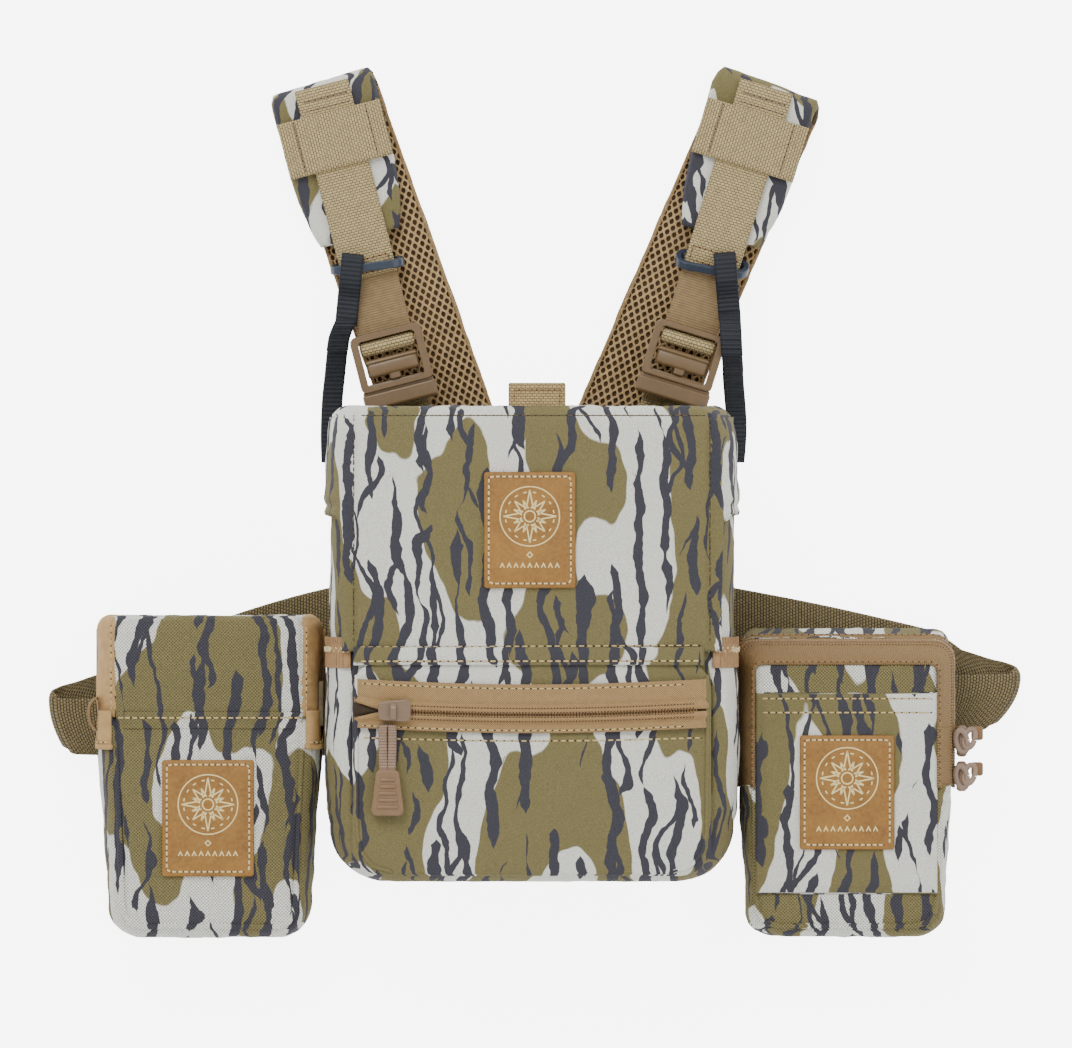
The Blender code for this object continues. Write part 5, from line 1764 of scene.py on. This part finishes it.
def harness_front(m, side):
    """The webbing, its crossband and stitching, and the buckle of one side."""
    at = front_place(side)
    across = at.to_3x3() @ Vector((1.0, 0.0, 0.0))
    up_strap = at.to_3x3() @ Vector((0.0, 1.0, 0.0))

    def on(u, v, z):
        return at @ Vector((u, v, z))

    def rib(far):
        return 0.10 * math.cos(far * 2 * math.pi / 1.3)

    web_end = 38.0 if side == "left" else 40.5
    flat = [(60.0, 16.2), (44.0, 16.2), (30.0, 16.25), (18.0, 16.3), (10.5, 16.5)]
    roll = [(11.5, 16.5), (8.5, 16.6), (5.2, 17.5), (3.9, 19.6), (4.2, 22.5), (6.2, 23.9), (8.2, 22.9),
            (8.9, 20.6)]
    turn = strap(f"webbing_{side}_roll", [on(0, v, z) for v, z in roll], across, BAND_WIDTH, 1.6,
                 m["webbing"], 0.5, None, 10)
    place(turn, "harness", "webbing")
    band = strap(f"elastic_{side}_band", [on(0, v, z) for v, z in flat], across, BAND_WIDTH, 1.5,
                 m["fine_elastic"], 0.33, rib, 10)
    place(band, "harness", "webbing", f"front_webbing_{side}")
    rise = [(114.0, 17.1), (90.0, 17.1), (66.0, 17.6), (52.0, 17.9), (web_end + 3.0, 17.9), (web_end, 17.6)]
    web = strap(f"webbing_{side}_band", [on(0, v, z) for v, z in rise], across, WEB_WIDTH, 1.6, m["webbing"],
                0.9, None, 10)
    place(web, "harness", "webbing")
    low, high = web_end + 1.8, web_end + 8.0
    corners = ((-10.4, low), (10.4, low), (10.4, high), (-10.4, high), (-10.4, low))
    box = [on(u, v, 0.0).xy for u, v in corners]
    sew(f"webbing_{side}_end_0", line_on(Top(web), box, 0.1, 1.0), m["thread_tan"], "harness", "webbing",
        2.0, 0.75, 0.3)

    route = [on(u, 101.4, 18.9 if abs(u) < 16 else 18.0)
             for u in (-23.9, -20.0, -14.0, -6.0, 6.0, 14.0, 20.0, 23.9)]
    cross = strap(f"crossband_{side}_web", route, up_strap, 25.6, 1.6, m["webbing"], 0.9, None, 10)
    place(cross, "harness", "webbing", f"crossband_{side}")
    top = Top(cross)
    for name, u in (("outer", -16.4), ("inner", 17.0)):
        row = line_on(top, [on(u, v, 0.0).xy for v in (89.6, 113.2)], 0.1)
        sew(f"crossband_{side}_{name}", row, m["thread_mauve"], "harness", "webbing", 2.1, 0.8, 0.32)
    route = [on(0, v, z) for v, z in ((113.0, 17.4), (119.0, 17.2), (124.0, 16.8), (126.4, 15.8))]
    tab = strap(f"strap_tab_{side}_web", route, across, WEB_WIDTH, 1.6, m["webbing"], 0.8, None, 10)
    place(tab, "harness", "webbing", f"strap_tab_{side}")
    for k, v in enumerate((116.6, 120.8)):
        row = line_on(Top(tab), [on(u, v, 0.0).xy for u in (-10.6, 0.0, 10.6)], 0.1)
        sew(f"strap_tab_{side}_row_{k}", row, m["thread_mauve"], "harness", "webbing", 2.1, 0.8, 0.3)

    buckle(m, side)
    route = [on(0, v, z) for v, z in ((-15.0, 15.1), (-20.4, 14.6), (-23.0, 9.8), (-26.0, 8.3), (-44.0, 8.0))]
    strip = strap(f"anchor_{side}_band", route, across, BAND_WIDTH, 1.5, m["webbing"], 0.9)
    place(strip, "harness", "webbing", f"anchor_webbing_{side}")


def buckle(m, side):
    """A cam buckle: frame, ledges and socket, and the cam that grips the webbing."""
    for part, body, edge in (("frame", "harness", 1.1), ("cam", f"cam_{side}", 0.9),
                             ("socket", "harness", 1.4)):
        piece = refine(f"buckle_{part}_{side}", f"buckle_{side}_{part}", m["buckle"], edge, 4)
        place(piece, body, "buckle_plastic", f"buckle_{part}_{side}")
    for part, low, high, edge, body in (
        ("lip", (-11.8, -0.9, 21.4), (11.8, 0.9, 25.0), 1.1, f"cam_{side}"),
        ("cam_bar", (-11.8, -6.9, 20.4), (11.8, -0.2, 24.6), 1.6, f"cam_{side}"),
        ("ledge", (-12.8, -12.4, 18.0), (12.8, -9.6, 22.4), 0.7, "harness"),
        ("step", (-16.2, -14.4, 17.2), (16.2, -12.4, 23.4), 0.6, "harness"),
    ):
        piece = cube(f"buckle_{side}_{part}", low, high, m["buckle"], edge)
        piece.data.transform(Matrix.Scale(MM, 4) @ front_place(side) @ Matrix.Scale(1 / MM, 4))
        place(piece, body, "buckle_plastic")


def keeper(m, side):
    """The ring round the webbing."""
    node = f"keeper_ring_{side}"
    ring = refine(node, f"keeper_{side}_rod", m["dark_plastic"], 1.0, 5)
    place(ring, f"keeper_{side}", "dark_plastic", node)


TETHER = {
    "left": [(-83.4, 145.0, 19.2), (-85.0, 141.5, 17.8), (-86.7, 137.0, 14.6), (-87.6, 131.5, 11.0),
             (-88.3, 125.5, 7.6), (-89.0, 119.0, 4.7), (-89.8, 112.0, 2.8), (-90.3, 105.0, 1.8),
             (-90.6, 97.0, 1.4), (-90.6, 89.0, 1.3), (-90.3, 81.0, 1.3)],
    "right": [(88.9, 147.0, 21.0), (89.1, 143.0, 24.6), (89.3, 139.0, 26.8), (89.5, 134.0, 27.4),
              (89.8, 129.0, 26.6), (90.3, 124.5, 22.4), (90.5, 119.5, 16.6), (91.0, 114.0, 11.2),
              (91.6, 108.0, 6.4), (92.1, 101.5, 3.3), (92.2, 94.0, 1.8), (91.8, 87.0, 1.3),
              (91.2, 81.0, 1.3)],
}
TETHER_U = {"left": -7.3, "right": 6.3}


def tether(m, side):
    """The limp ribbed strap from the ring down behind the pack, and its sewn loop."""
    route = [Vector(p) for p in TETHER[side]]

    def rib(far):
        return 0.26 * math.cos(far * 2 * math.pi / 2.0)

    centre = [catmull(route, t) for t, _ in along(route, 1.0)]
    band = strap(f"tether_{side}_band", route, (1, 0, 0), 9.4, 1.4, m["tether"], 0.35, rib, 8)
    place(band, "harness", "tether_webbing", f"tether_strap_{side}")
    doubled = route[:4 if side == "left" else 5]
    upper = [p + Vector((0.0, 0.0, 1.7 if k else 1.2)) for k, p in enumerate(doubled)]
    double = strap(f"tether_{side}_double", upper, (1, 0, 0), 9.8, 1.5, m["tether"], 0.35,
                   lambda far: 0.4 * math.cos(far * 2 * math.pi / 2.6), 8)
    place(double, "harness", "tether_webbing")

    at = front_place(side)
    start = at @ Vector((TETHER_U[side], 43.0, 0.0))
    way = Vector((start.x - route[0].x, start.y - route[0].y, 0.0))
    reach = way.length
    way.normalize()
    across = Vector((way.y, -way.x, 0.0))
    loop = [(-reach - 2.0, 18.0), (-reach + 1.2, 18.2), (-9.0, 18.2), (4.6, 18.2), (5.8, 19.6), (6.2, 21.6),
            (5.8, 23.4), (4.6, 24.6), (-4.4, 24.6), (-8.0, 23.4), (-13.0, 20.8), (-reach + 1.2, 20.0),
            (-reach - 1.6, 19.4)]
    points = [Vector((start.x, start.y, 0.0)) + way * t + Vector((0, 0, z)) for t, z in loop]
    piece = strap(f"tether_{side}_loop", points, across, 10.0, 1.25, m["tether"], 0.35, rib, 8)
    low_end, high_end = Vector(route[0]) * MM, (Vector((start.x, start.y, 0.0)) - way * 8.0) * MM
    high_end.z = low_end.z
    stretch(piece, ("harness", f"keeper_{side}"), (low_end, high_end), "tether_webbing",
            f"tether_loop_{side}")


SIDE_STRAP = {
    "left": ([(-66.0, -38.5), (-90.0, -38.5), (-104.0, -38.5), (-160.0, -38.5), (-210.4, -38.0)],
             [(-60.6, 16.0), (-91.0, 12.0), (-135.0, -0.5), (-197.0, -24.0), (-210.4, -30.5)]),
    "right": ([(66.0, -28.0), (90.0, -28.0), (102.0, -28.0), (160.0, -28.0), (212.9, -27.0)],
              [(60.6, 17.0), (90.5, 12.0), (141.0, 2.0), (198.0, -12.0), (212.9, -20.0)]),
}


# Where the fold reaches furthest (Y), and the pull and span of its rounding above and below that
FOLD_END = {"left": (-25.7, (17.0, 14.7), (8.7, 25.0)), "right": (-15.5, (12.0, 11.0), (14.0, 24.0))}


def side_strap(m, side):
    """Ribbed elastic from the back out to a fold, and back behind the pouch."""
    front, rear = SIDE_STRAP[side]
    sign = -1.0 if side == "left" else 1.0
    route = [Vector((x, y, 1.3)) for x, y in rear]
    for k in range(1, 6):
        angle = math.pi * k / 6
        y = rear[-1][1] + (front[-1][1] - rear[-1][1]) * k / 6
        route.append(Vector((front[-1][0] + sign * 6.6 * math.sin(angle), y, 5.8 - 4.6 * math.cos(angle))))
    heights = [8.3, 8.3, 10.4, 10.4, 10.4]
    route += [Vector((x, y, z)) for (x, y), z in reversed(list(zip(front, heights)))]
    band = strap(f"side_{side}_band", route, (0, 1, 0), 25.4, 1.7, m["side_elastic"], 0.6,
                 lambda far: 0.07 * math.cos(far * 2 * math.pi / 1.5), 20)
    # The fold's end is rounded: its corners are pulled in above and below its furthest point
    peak, above, below = FOLD_END[side]
    for vertex in band.data.vertices:
        x, y = vertex.co.x / MM * sign, vertex.co.y / MM
        pull, span = above if y > peak else below
        moved = pull * smooth_step(x, 176.0, 212.0) * min(((y - peak) / span) ** 2, 1.2)
        vertex.co.x -= sign * min(moved, max(x - 176.0, 0.0) * 0.5) * MM
    place(band, "harness", "elastic", f"side_strap_{side}")


def back(m):
    """The mesh-faced pad behind the pack, and the yoke that joins the straps."""
    low, high = box_mm("pack_back_pad")
    outline = dense(rounded_outline(low.x, high.x, low.y, high.y, 8.0), 3.0)
    pad = pad_mesh("back_pad_mesh", outline, low.z, high.z, [m["mesh_cloth"]], 1.0, 0.0, 10)
    place(pad, "harness", "air_mesh", "pack_back_pad")
    yoke = refine("back_yoke", "back_yoke_mesh", m["mesh_cloth"], 1.4, 4)
    place(yoke, "harness", "air_mesh", "back_yoke")


def metal(m):
    """The sewn-in magnets' own finish."""
    for node, body in (("lid_magnet", "lid"), ("body_magnet", "harness")):
        place(refine(node, f"{node}_disc", m["steel"], 0.3), body, "magnet_steel", node)


MATERIALS = make_materials()
stage()
main_pack(MATERIALS)
main_lid(MATERIALS)
front_pocket(MATERIALS)
left_pouch(MATERIALS)
right_pouch(MATERIALS)
belt_loops(MATERIALS)
for SIDE in ("left", "right"):
    shoulder_pad(MATERIALS, SIDE)
    harness_front(MATERIALS, SIDE)
    keeper(MATERIALS, SIDE)
    tether(MATERIALS, SIDE)
    side_strap(MATERIALS, SIDE)
back(MATERIALS)
metal(MATERIALS)
